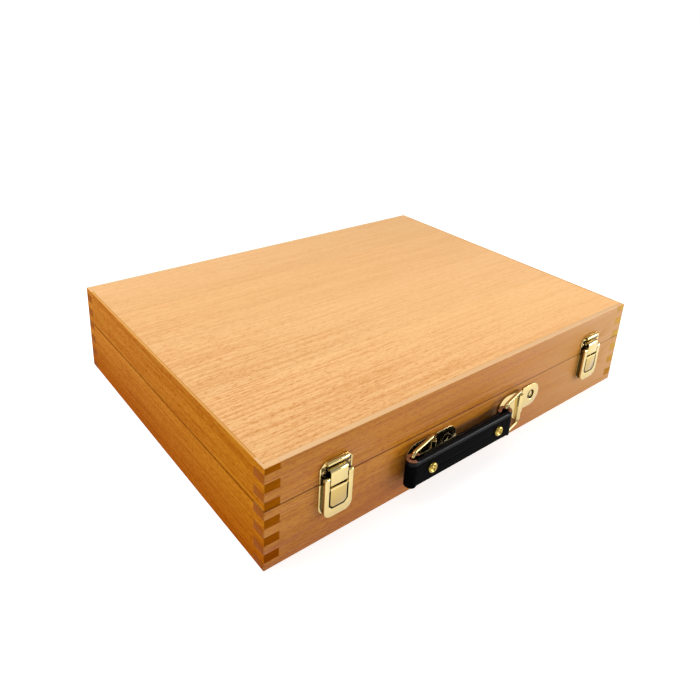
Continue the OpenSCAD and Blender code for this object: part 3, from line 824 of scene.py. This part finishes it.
CREASE_SHARE = 0.55  # the edge crease's depth beside the pressed line's
ROLL_STEPS = 8  # steps round a rolled edge
RAW_TURN = (35.0, 60.0)  # turn round a loop's edge over which the cut leather starts to show
INNER_ROUND = 0.3  # rounding of the edges on the leather's inner face


def eased(low, high, value):
    """0 below low, 1 above high and smooth between."""
    part = min(max((value - low) / (high - low), 0.0), 1.0)
    return part * part * (3.0 - 2.0 * part)


def strap_line(hide):
    """The leather's middle line round both loops, from the left end of the front layer."""
    mid = (hide.layer_in + hide.layer_out) / 2
    radius = (hide.loop_in + hide.loop_out) / 2
    half = hide.loop_pitch / 2
    front = [(-half + 2 * half * step / FRONT_STEPS, -mid) for step in range(FRONT_STEPS + 1)]
    right = []
    for step in range(1, LOOP_STEPS + 1):
        angle = math.radians(-90.0 + LOOP_TURN * step / LOOP_STEPS)
        right.append((half + radius * math.cos(angle), hide.loop_sink + radius * math.sin(angle)))
    start = Vector(right[-1])
    end = Vector((half - hide.loop_run - RETURN_END, mid))
    pull = (end - start).length
    turned = math.radians(LOOP_TURN)
    leaving = start + Vector((math.cos(turned), math.sin(turned))) * pull * LEAVING
    arriving = end + Vector((pull * ARRIVING, 0.0))
    for step in range(1, RETURN_STEPS + 1):
        t = step / RETURN_STEPS
        first = start * (1 - t) ** 3 + 3 * leaving * t * (1 - t) ** 2
        last = 3 * arriving * t * t * (1 - t) + end * t ** 3
        right.append(tuple(first + last))
    back = [(end.x * step / BACK_STEPS, mid) for step in range(BACK_STEPS - 1, -BACK_STEPS, -1)]
    return front + right + back + [(-x, y) for x, y in reversed(right)]


def strap_section(hide, x, loop, front):
    """The leather's cut across: outward offset, height and share of raw edge, in order.

    loop is 1 at a loop, and front is 1 on the front layer."""
    face, half = (hide.layer_out - hide.layer_in) / 2, hide.width / 2
    roll = hide.roll * (1 - loop) + hide.loop_edge * loop
    reach = hide.rivet_pitch / 2
    ending = eased(reach + GROOVE_ENDS[0], reach + GROOVE_ENDS[1], abs(x - hide.rivet_off))
    groove = hide.groove * front * (1 - ending)
    crease = CREASE_SHARE * hide.groove * front * (1 - loop)

    def pressed(line, steps, depth, width):
        """Stops of a soft groove pressed along a line at some height."""
        return [(face - depth * math.exp(-((step / width) ** 2)), line + step, 0.0) for step in steps]

    def rounded(out, radius, angle, edge):
        """A stop on the rounding of a long edge."""
        turn = math.radians(angle)
        return out + radius * math.cos(turn), half - radius + radius * math.sin(turn), edge

    top = pressed(half - hide.crease_in, CREASE_STEPS, crease, CREASE_WIDTH)
    for step in range(ROLL_STEPS + 1):
        angle = 90.0 * step / ROLL_STEPS
        top.append(rounded(face - roll, roll, angle, loop * eased(*RAW_TURN, angle)))
    for angle in (90.0, 135.0, 180.0):
        top.append(rounded(INNER_ROUND - face, INNER_ROUND, angle, loop * (angle < 150.0)))
    bottom = [(out, -up, edge) for out, up, edge in reversed(top)]
    return (
        pressed(hide.groove_drop, GROOVE_STEPS, groove, GROOVE_WIDTH)
        + top + [(-face, 0.0, 0.0)] + bottom
    )


def strap_mesh(hide, face):
    """The strap's closed mesh, whose attribute raw is 1 where the cut leather shows.

    face is the middle of the front of the strap's box, in metres."""
    line = strap_line(hide)
    mid, half = (hide.layer_in + hide.layer_out) / 2, hide.loop_pitch / 2
    middle = Vector((face[0], face[1] + (hide.loop_out - hide.loop_sink) * MM, face[2]))
    points, raw = [], []
    for index, (x, y) in enumerate(line):
        before, after = line[index - 1], line[(index + 1) % len(line)]
        along = Vector((after[0] - before[0], after[1] - before[1])).normalized()
        change = BACK_CHANGE if y > FRONT_REACH - mid else FRONT_CHANGE
        loop = eased(half + change[0], half + change[1], abs(x))
        section = strap_section(hide, x, loop, 1.0 if y < 0.0 else 0.0)
        for out, up, edge in section:
            offset = (x + along.y * out, y - along.x * out, up)
            points.append([middle[axis] + offset[axis] * MM for axis in range(3)])
            raw.append(edge)
    across, count = len(section), len(points)
    faces = []
    for row in range(0, count, across):
        ahead = (row + across) % count
        for column in range(across):
            aside = (column + 1) % across
            faces.append((row + column, ahead + column, ahead + aside, row + aside))
    data = bpy.data.meshes.new("strap")
    data.from_pydata(points, [], faces)
    data.attributes.new("raw", "FLOAT", "POINT").data.foreach_set("value", raw)
    mesh = bmesh.new()
    mesh.from_mesh(data)
    bmesh.ops.recalc_face_normals(mesh, faces=mesh.faces)
    mesh.to_mesh(data)
    mesh.free()
    return data


# ---- Settings ----


def level(name, description, default, **limits):
    """A number that a user may change."""
    return bpy.props.FloatProperty(name=name, description=description, default=default, **limits)


def size(name, description, default, low=0.0, high=500.0):
    """A length in millimetres that a user may change."""
    return level(name, description + ", mm", default, min=low, max=high)


def share(name, description, default):
    """A share from 0 to 1 that a user may change."""
    return level(name, description, default, min=0.0, max=1.0, subtype="FACTOR")


def paint(name, description, default):
    """A colour that a user may change."""
    return bpy.props.FloatVectorProperty(
        name=name, description=description, default=default, size=3, min=0.0, max=1.0, subtype="COLOR"
    )


class SketchBoxWood(bpy.types.PropertyGroup):
    """Sizes and colours of the boards."""

    case_width: size("Case width", "Length of the case along its front", extent("base_front", 0))
    case_depth: size("Case depth", "Depth of the case from front to back", extent("base_left", 1))
    wall: size("Board thickness", "Thickness of the boards", extent("base_front", 1))
    finger_height: size("Finger height", "Height of one finger of the corner joints", 6.9)
    edge: size("Softened edge", "Width of the softened board edges", 0.14, high=1.0)
    case_height: size("Case height", "Height of the closed case", 80.9)
    side_lip: size("Side lip", "Width of the side boards' edge beside the panel", 2.2)
    parting: size("Parting height", "Height of the cut between base and lid", 48.3)
    parting_width: size("Parting width", "Reach of the darker edge along the cut", 0.9, high=5.0)
    # Painted shade: the front and side boards are the panels' beech, their colours painted darker and
    # deeper for the shade on the case's sides; inside_share blends their inner faces back towards the
    # panel colour.
    front_colour: paint("Front colour", "Front and back boards", (0.392, 0.150, 0.005))
    front_dark: paint("Front dark", "Darker streaks of the front and back boards", (0.37, 0.134, 0.003))
    # Painted light: the paler colour at the front and back boards' right end.
    front_lit_end: paint("Front fresh", "Paler end of the front and back boards", (0.365, 0.163, 0.028))
    side_colour: paint("Side colour", "Left and right boards", (0.515, 0.203, 0.032))
    side_dark: paint("Side dark", "Darker streaks of the left and right boards", (0.462, 0.172, 0.022))
    panel_colour: paint("Panel colour", "Top and bottom panels", (0.765, 0.452, 0.206))
    panel_dark: paint("Panel dark", "Darker streaks of the panels", (0.745, 0.430, 0.188))
    front_end: paint("Front end grain", "End grain of the front and back boards", (0.315, 0.080, 0.001))
    left_end: paint("Left end grain", "End grain of the left boards", (0.235, 0.069, 0.003))
    right_end: paint("Right end grain", "End grain of the right boards", (0.47, 0.285, 0.15))
    panel_end: paint("Panel end grain", "End grain of the panels and dividers", (0.50, 0.22, 0.06))
    # Painted light: the lighter colours of the boards' upward top faces.
    front_lit_rim: paint("Front rim", "Top edge of the front and back boards", (0.690, 0.425, 0.205))
    side_lit_rim: paint("Side rim", "Top edge of the left and right boards", (0.60, 0.310, 0.085))
    # Tint of the grain's dark marks and seams, also of the painted shade at the boards' foot.
    mark_and_shade_tint: paint("Stain", "What the dark marks leave of the wood's colour", (0.74, 0.52, 0.28))
    # Painted shade along the cut between lid and base.
    parting_shade_tint: paint("Parting tint", "What the cut's edge leaves of the wood", (0.50, 0.40, 0.28))
    wave_strength: share("Waves", "Strength of the broad growth waves", 0.07)
    line_strength: share("Growth lines", "Strength of the fine growth lines", 0.42)
    pore_strength: share("Pores", "Strength of the pores", 0.60)
    panel_fade: share("Panel fade", "How far the panels' figure fades towards the back right", 0.62)
    mottle_strength: share("Mottle", "Strength of the cloudy mottle", 0.06)
    fleck_strength: share("Flecks", "Strength of the short ray flecks", 0.6)
    seam_strength: share("Seams", "Darkness of the finger joint's seams", 0.5)
    # Painted shade towards the foot of the boards.
    front_foot_shade: share("Front foot", "Deeper colour towards the foot of the front and back boards", 0.5)
    side_foot_shade: share("Side foot", "Deeper colour towards the foot of the left and right boards", 0.95)
    # Painted shade deepening the side boards towards the front.
    side_shade: share("Side age", "Deeper yellow towards the front of the left and right boards", 0.8)
    # Share of that painted light at the right end.
    front_light_share: share("Fresh share", "How far the right end of the front and back boards is paler", 0.9)
    inside_share: share("Inside", "How much paler the boards are on the inside", 0.62)
    sawn_share: share("Sawn edge", "Share of the rim colour on the edges of the cut", 0.75)
    # Share of the painted light on the top edge.
    lit_rim_share: share("Rim share", "Share of the rim colour on the top edge", 0.9)
    front_gloss: share("Front gloss", "Gloss of the front and back boards", 0.9)
    side_gloss: share("Side gloss", "Gloss of the left and right boards", 0.0)
    panel_gloss: share("Panel gloss", "Gloss of the panels and dividers", 0.12)
    wood_roughness: share("Roughness", "Roughness of the oiled surface", 0.42)


class SketchBoxBrass(bpy.types.PropertyGroup):
    """Finish of the brass hardware."""

    edge: size("Rolled edge", "Width of the softened sheet edges", 0.16, high=1.0)
    # Depth from which the plates' sunken faces carry painted shade.
    pit: size("Tarnished depth", "Depth from which sunken faces are dark", 0.3, high=2.0)
    plate_face: size("Plate face", "How far the handle plates' faces lie before the case's middle", 151.2)
    line_up: size("Line height", "Height of the engraved line's foot over the lever's end", 7.05)
    line_half: size("Line half", "Half of the engraved line's pitch", 7.45)
    line_corner: size("Line corner", "Cut corner of the engraved line", 2.5)
    line_width: size("Line width", "Half of the engraved line's width", 0.72)
    line_top: size("Line top", "Height of the engraved line's end over the lever's end", 21.5)
    border: size("Keeper border", "Width of the keeper's bright border", 1.0)
    roll: size("Roll", "Height of the keeper's roll", 3.6)
    rib_pitch: size("Rib pitch", "Distance between the ribs on the hook's bend", 0.9)
    colour: paint("Brass colour", "Colour of the plating", (0.70, 0.555, 0.245))
    cap_colour: paint("Cap colour", "Colour of the rivet caps", (0.40, 0.28, 0.06))
    # Depth at which painted shade fully darkens the plate screws' heads.
    crown: size("Crown", "Depth at which the plate screws' heads are fully tarnished", 0.6)
    inner_tint: paint("Inner tint", "What the lever's inner face leaves of the brass", (0.80, 0.72, 0.56))
    # Painted dark reflection on the front of the rings' wire.
    wire_dark_reflection: share("Wire", "Tarnish on the front of the rings' wire", 0.55)
    tarnish_colour: paint("Tarnish colour", "Colour of the duller patches", (0.62, 0.46, 0.18))
    nail_colour: paint("Nail colour", "Old brass of the nails", (0.42, 0.28, 0.11))
    # Painted shade and dark reflection in seats, screw heads, the rings' front, the lever, the keeper and
    # the hook's bend, and the lever's engraved line.
    brass_dark_colour: paint("Groove colour", "Tarnish in lines and screw seats", (0.040, 0.022, 0.004))
    tarnish: share("Tarnish", "Share of the duller patches", 0.35)
    roughness: share("Roughness", "Roughness of the plating", 0.16)
    hinge_roughness: share("Hinge roughness", "Roughness of the hinges", 0.28)


class SketchBoxLeather(bpy.types.PropertyGroup):
    """Finish and form of the strap."""

    black: paint("Black", "Dyed face of the leather", (0.0012, 0.0012, 0.0015))
    worn: paint("Worn black", "Slightly rubbed leather", (0.0032, 0.0030, 0.0032))
    cut_edge: paint("Edge", "Cut edge of the leather", (0.42, 0.185, 0.10))
    cut_edge_dark: paint("Edge dark", "Darker fibres of the cut edge", (0.22, 0.085, 0.045))
    roughness: share("Roughness", "Roughness of the dyed face", 0.30)
    burnish: share("Burnish", "Polish of the strap's upper edge", 0.3)
    shine: paint("Shine", "Tint of the polished edge's shine", (0.45, 0.60, 1.0))
    roll: size("Rolled edge", "Rounding of the strap's long edges", 2.6, high=3.0)
    loop_edge: size("Loop edge", "Rounding of the edges at the loops", 0.6, high=3.0)
    groove: size("Groove depth", "Depth of the line pressed along the front", 0.5, high=1.0)
    groove_drop: size("Groove height", "Height of the pressed line over the middle", -1.2, low=-5.0)
    crease_in: size("Edge crease", "Distance of the crease from the long edges", 3.6)
    width: size("Strap width", "Width of the strap", extent("handle_strap", 2))
    layer_in: size("Half gap", "Half of the gap between the layers", 0.5)
    layer_out: size("Half thickness", "Half of the strap's whole thickness", 3.5)
    loop_in: size("Loop hollow", "Inner radius of the loops", 2.2)
    loop_out: size("Loop radius", "Outer radius of the loops", 5.2)
    loop_sink: size("Loop sink", "How far the loops stand behind the strap's middle", 1.7)
    loop_pitch: size("Loop pitch", "Distance between the middles of the loops", 103.8)
    loop_run: size("Loop run", "Length over which the layers part at a loop", 10.1)
    rivet_pitch: size("Rivet pitch", "Distance between the rivets", 74.2)
    rivet_off: size("Rivet offset", "How far right of the strap's middle the rivets lie", 1.2)


class SketchBoxFasteners(bpy.types.PropertyGroup):
    """Sizes of the screws, nails and rivets."""

    plate_head: size("Plate screw head", "Radius of the handle plates' screw heads", 3.3)
    plate_sink: size("Plate screw sink", "Depth of the rim of those heads", 1.35)
    plate_rise: size("Plate screw rise", "Rise of the dome of those heads", 1.3)
    plate_shank: size("Plate screw shank", "Radius of those screws' shanks", 1.7)
    plate_length: size("Plate screw length", "Length of those screws", 9.0)
    slot_width: size("Slot width", "Width of the screw slots", 0.7)
    slot_depth: size("Slot depth", "Depth of the screw slots", 0.8)
    hinge_head: size("Hinge screw head", "Radius of the hinge screws' heads", 2.76)
    hinge_shank: size("Hinge screw shank", "Radius of the hinge screws' shanks", 1.2)
    hinge_length: size("Hinge screw length", "Length of the hinge screws", 10.0)
    hinge_slot: size("Hinge slot width", "Width of the hinge screws' slots", 0.8)
    nail_head: size("Nail head", "Radius of the latch nails' heads", 1.3)
    nail_rise: size("Nail rise", "Height of the latch nails' heads", 0.5)
    nail_shank: size("Nail shank", "Radius of the latch nails' shanks", 0.7)
    nail_length: size("Nail length", "Length of the latch nails under the head", 8.8)
    cap_radius: size("Cap radius", "Radius of the rivets' caps", 4.3)
    cap_rise: size("Cap height", "Height of the rivets' caps", 1.8)
    rivet_shank: size("Rivet shank", "Radius of the rivets' shanks", 1.5)
    rivet_grip: size("Rivet grip", "Thickness of the leather at the rivets", 7.0)
    rivet_back: size("Rivet back", "Radius of the rivets' flat backs", 3.5)
    rivet_back_thickness: size("Rivet back thickness", "Thickness of the flat backs", 0.8)


class SketchBoxStage(bpy.types.PropertyGroup):
    """Floor, lights and camera."""

    floor_colour: paint("Floor colour", "Pale studio floor", (0.55, 0.55, 0.55))
    floor_glow: level("Floor glow", "Light that the floor gives", 0.70)
    key_power: level("Key light", "Power of the top light, W", 32.5)
    side_power: level("Side light", "Power of the right light, W", 12.0)
    world_strength: level("World", "Strength of the surrounding light above the horizon", 0.55)
    lens: level("Lens", "Focal length on a 36 mm sensor, mm", 34.45)


# ---- Operators ----


def panel_tones(wood):
    """Colours of the panels and dividers, in the order that beech takes."""
    return wood.panel_colour[:], wood.panel_dark[:], wood.panel_end[:], wood.front_lit_rim[:]


class SKETCHBOX_OT_boards(bpy.types.Operator):
    """Dress the boards and panels in beech with softened edges"""

    bl_idname = "sketchbox.boards"
    bl_label = "Boards and panels"

    def execute(self, context):
        wood = context.scene.sketchbox_wood
        front = (wood.front_colour[:], wood.front_dark[:], wood.front_end[:], wood.front_lit_rim[:])
        looks = {}
        for seed, node in enumerate(BOARDS_ALONG_X, 1):
            looks[node] = ("X", front, seed, wood.front_gloss, wood.front_foot_shade, False, True)
        for seed, node in enumerate(BOARDS_ALONG_Y, 7):
            end = wood.left_end[:] if node.endswith("left") else wood.right_end[:]
            side = (wood.side_colour[:], wood.side_dark[:], end, wood.side_lit_rim[:])
            looks[node] = ("Y", side, seed, wood.side_gloss, wood.side_foot_shade, False, True)
        for seed, node in enumerate(PANELS, 13):
            looks[node] = ("X", panel_tones(wood), seed, wood.panel_gloss, 0.0, True)
        for node, look in looks.items():
            dressed_copy(node, beech("beech_" + node, wood, *look), wood.edge * MM, 40.0)
        return {"FINISHED"}


class SKETCHBOX_OT_dividers(bpy.types.Operator):
    """Dress the dividers in plain planed beech"""

    bl_idname = "sketchbox.dividers"
    bl_label = "Dividers"

    def execute(self, context):
        wood = context.scene.sketchbox_wood
        edge, tones = wood.edge * MM, panel_tones(wood)
        lengthwise = beech("beech_long_divider", wood, "X", tones, 17, wood.panel_gloss)
        crosswise = beech("beech_cross_dividers", wood, "Y", tones, 19, wood.panel_gloss)
        dressed_copy("long_divider", lengthwise, edge)
        for node in CROSS_DIVIDERS:
            dressed_copy(node, crosswise, edge)
        return {"FINISHED"}


class SKETCHBOX_OT_latches(bpy.types.Operator):
    """Dress the toggle latches in plated brass with rolled sheet edges"""

    bl_idname = "sketchbox.latches"
    bl_label = "Toggle latches"

    def execute(self, context):
        metal = context.scene.sketchbox_brass
        plain = brass("latch_brass", metal).material
        finishes = {"lever": lever_brass, "keeper": keeper_brass, "hook": hook_brass}
        for node in LATCH_SHEETS:
            make = finishes.get(node.rsplit("_", 1)[1])
            finish = make("brass_" + node, metal, *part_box(node)) if make else plain
            dressed_copy(node, finish, metal.edge * MM)
        for node in LATCH_PINS:
            dressed_copy(node, plain)
        return {"FINISHED"}


class SKETCHBOX_OT_hinges(bpy.types.Operator):
    """Dress the butt hinges' leaves and pins in duller brass"""

    bl_idname = "sketchbox.hinges"
    bl_label = "Hinges"

    def execute(self, context):
        metal = context.scene.sketchbox_brass
        material = brass("hinge_brass", metal, roughness=metal.hinge_roughness).material
        for node in HINGE_PIECES:
            dressed_copy(node, material)
        return {"FINISHED"}


class SKETCHBOX_OT_handle_hardware(bpy.types.Operator):
    """Dress the handle's plates and rings in brass"""

    bl_idname = "sketchbox.handle_hardware"
    bl_label = "Handle plates and rings"

    def execute(self, context):
        metal = context.scene.sketchbox_brass
        plate = seat_brass("plate_brass", metal)
        wire = wire_brass("wire_brass", metal)
        for node in HANDLE_PLATES:
            dressed_copy(node, plate, metal.edge * MM)
        for node in HANDLE_RINGS:
            dressed_copy(node, wire)
        return {"FINISHED"}


class SKETCHBOX_OT_fasteners(bpy.types.Operator):
    """Turn the screws, nails and rivets and set them in their places"""

    bl_idname = "sketchbox.fasteners"
    bl_label = "Screws, nails and rivets"

    def execute(self, context):
        metal = context.scene.sketchbox_brass
        parts = context.scene.sketchbox_fasteners
        hinge_screw = brass("screw_brass", metal).material
        nail = brass("nail_brass", metal, metal.nail_colour[:], metal.hinge_roughness).material
        cap = brass("cap_brass", metal, metal.cap_colour[:]).material
        front, up, down = (0.0, -1.0, 0.0), (0.0, 0.0, 1.0), (0.0, 0.0, -1.0)
        plate_sizes = (
            parts.plate_head, parts.plate_sink, parts.plate_rise, parts.plate_shank,
            parts.plate_length, parts.slot_width, parts.slot_depth,
        )
        hinge_sizes = (
            parts.hinge_head, parts.hinge_shank, parts.hinge_length, parts.hinge_slot, parts.slot_depth,
        )
        nail_sizes = (parts.nail_head, parts.nail_rise, parts.nail_shank, parts.nail_length)
        rivet_sizes = (
            parts.cap_radius, parts.cap_rise, parts.rivet_shank, parts.rivet_grip,
            parts.rivet_back, parts.rivet_back_thickness,
        )
        raised, flat, small, rivet = raised_screw(), flat_screw(), round_nail(), cap_rivet()
        plate_screw = screw_brass("plate_screw_brass", metal)
        for node, tree, sizes, aim, turns, seat, material in (
            ("handle_plate_screws", raised, plate_sizes, front, (50, 35, 60, 40), 0.0, plate_screw),
            ("hinge_base_screws", flat, hinge_sizes, up, (20, 75, 140, 50), 0.0, hinge_screw),
            ("hinge_lid_screws", flat, hinge_sizes, down, (110, 15, 65, 160), 0.0, hinge_screw),
            ("latch_plate_nails", small, nail_sizes, front, (0,), parts.nail_rise, nail),
            ("keeper_nails", small, nail_sizes, front, (0,), parts.nail_rise, nail),
            ("handle_rivets", rivet, rivet_sizes, front, (0,), parts.cap_rise, cap),
        ):
            set_fasteners(node, tree, sizes, aim, turns, seat, material)
        return {"FINISHED"}


class SKETCHBOX_OT_strap(bpy.types.Operator):
    """Build the leather strap, folded round both rings"""

    bl_idname = "sketchbox.strap"
    bl_label = "Leather strap"

    def execute(self, context):
        hide = context.scene.sketchbox_leather
        low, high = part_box("handle_strap")
        data = strap_mesh(hide, ((low[0] + high[0]) / 2, low[1], (low[2] + high[2]) / 2))
        finished_piece("handle_strap", "strap", data, leather("strap_leather", hide, high[2]), 50.0)
        dressed_copy("handle_filler", leather("filler_leather", hide, high[2]))
        return {"FINISHED"}


# Places and sizes of the stage, in metres, and the camera's turn, in degrees.
CAMERA_PLACE = (-0.374156, -0.418896, 0.349498)
CAMERA_TURN = (68.42218, -2.46785, -37.92815)
CAMERA_SHIFT = (0.02716, -0.14687)
SENSOR = 36.0
FLOOR_HALF = 400.0
HORIZON = (0.02, 0.12)  # height in the sky over which its bright band fades
KEY_PLACE, KEY_SIZE = (-0.55, 0.65, 1.7), (1.6, 1.2)
SIDE_PLACE, SIDE_SIZE = (0.95, -0.9, 0.20), (0.8, 0.3)
LIT_POINT = (0.0, 0.0, 0.05)  # the place that both lights look at


class SKETCHBOX_OT_stage(bpy.types.Operator):
    """Set the pale floor, the soft lights and the camera"""

    bl_idname = "sketchbox.stage"
    bl_label = "Stage"

    def execute(self, context):
        scene = context.scene
        stage = scene.sketchbox_stage
        scene.view_settings.view_transform = "Standard"
        scene.view_settings.look = "None"

        data = bpy.data.cameras.new("camera")
        data.lens = stage.lens
        data.sensor_width = SENSOR
        data.shift_x, data.shift_y = CAMERA_SHIFT
        data.clip_start, data.clip_end = 0.05, 2.5 * FLOOR_HALF
        camera = bpy.data.objects.new("camera", data)
        camera.location = CAMERA_PLACE
        camera.rotation_euler = [math.radians(turn) for turn in CAMERA_TURN]
        scene.collection.objects.link(camera)
        scene.camera = camera

        data = bpy.data.meshes.new("floor")
        corners = [(x * FLOOR_HALF, y * FLOOR_HALF, 0.0) for x, y in ((-1, -1), (1, -1), (1, 1), (-1, 1))]
        data.from_pydata(corners, [], [(0, 1, 2, 3)])
        data.materials.append(plain_floor("studio_floor", stage.floor_colour[:], stage.floor_glow))
        floor = bpy.data.objects.new("floor", data)
        scene.collection.objects.link(floor)

        scene.world = bpy.data.worlds.new("studio")
        scene.world.use_nodes = True
        sky = Graph(scene.world.node_tree)
        _, _, height = sky.split(sky.node("ShaderNodeTexCoord").out("Generated"))
        band = (1.0 - abs(height).between(*HORIZON)) * (1.0 - stage.world_strength)
        background = sky.tree.nodes["Background"]
        sky.plug(background.inputs["Color"], (1.0, 1.0, 1.0))
        sky.plug(background.inputs["Strength"], band + stage.world_strength)

        self.light(scene, "key", KEY_PLACE, KEY_SIZE, stage.key_power)
        self.light(scene, "side", SIDE_PLACE, SIDE_SIZE, stage.side_power)
        return {"FINISHED"}

    def light(self, scene, name, place, extent, power):
        """A soft rectangular light that looks at the case."""
        data = bpy.data.lights.new(name, "AREA")
        data.shape = "RECTANGLE"
        data.size, data.size_y = extent
        data.energy = power
        lamp = bpy.data.objects.new(name, data)
        lamp.location = place
        lamp.rotation_euler = (Vector(LIT_POINT) - Vector(place)).to_track_quat("-Z", "Y").to_euler()
        scene.collection.objects.link(lamp)


class SKETCHBOX_PT_panel(bpy.types.Panel):
    """Lists the steps that dress the box"""

    bl_idname = "SKETCHBOX_PT_panel"
    bl_label = "Sketch Box"
    bl_space_type = "VIEW_3D"
    bl_region_type = "UI"
    bl_category = "Sketch Box"

    def draw(self, context):
        column = self.layout.column(align=True)
        for operator in OPERATORS:
            column.operator(operator.bl_idname)
        for group, name in GROUPS.items():
            box = self.layout.box()
            for setting in group.__annotations__:
                box.prop(getattr(context.scene, name), setting)


OPERATORS = (
    SKETCHBOX_OT_stage,
    SKETCHBOX_OT_boards,
    SKETCHBOX_OT_dividers,
    SKETCHBOX_OT_hinges,
    SKETCHBOX_OT_latches,
    SKETCHBOX_OT_handle_hardware,
    SKETCHBOX_OT_fasteners,
    SKETCHBOX_OT_strap,
)
GROUPS = {
    SketchBoxWood: "sketchbox_wood",
    SketchBoxBrass: "sketchbox_brass",
    SketchBoxLeather: "sketchbox_leather",
    SketchBoxFasteners: "sketchbox_fasteners",
    SketchBoxStage: "sketchbox_stage",
}


def register():
    """Registers the settings, the operators and the panel."""
    for group, name in GROUPS.items():
        bpy.utils.register_class(group)
        setattr(bpy.types.Scene, name, bpy.props.PointerProperty(type=group))
    for operator in OPERATORS:
        bpy.utils.register_class(operator)
    bpy.utils.register_class(SKETCHBOX_PT_panel)


def unregister():
    """Removes what register added."""
    bpy.utils.unregister_class(SKETCHBOX_PT_panel)
    for operator in reversed(OPERATORS):
        bpy.utils.unregister_class(operator)
    for group, name in GROUPS.items():
        delattr(bpy.types.Scene, name)
        bpy.utils.unregister_class(group)


def main():
    register()
    for operator in OPERATORS:
        group, name = operator.bl_idname.split(".")
        getattr(getattr(bpy.ops, group), name)()


if __name__ == "__main__":
    main()
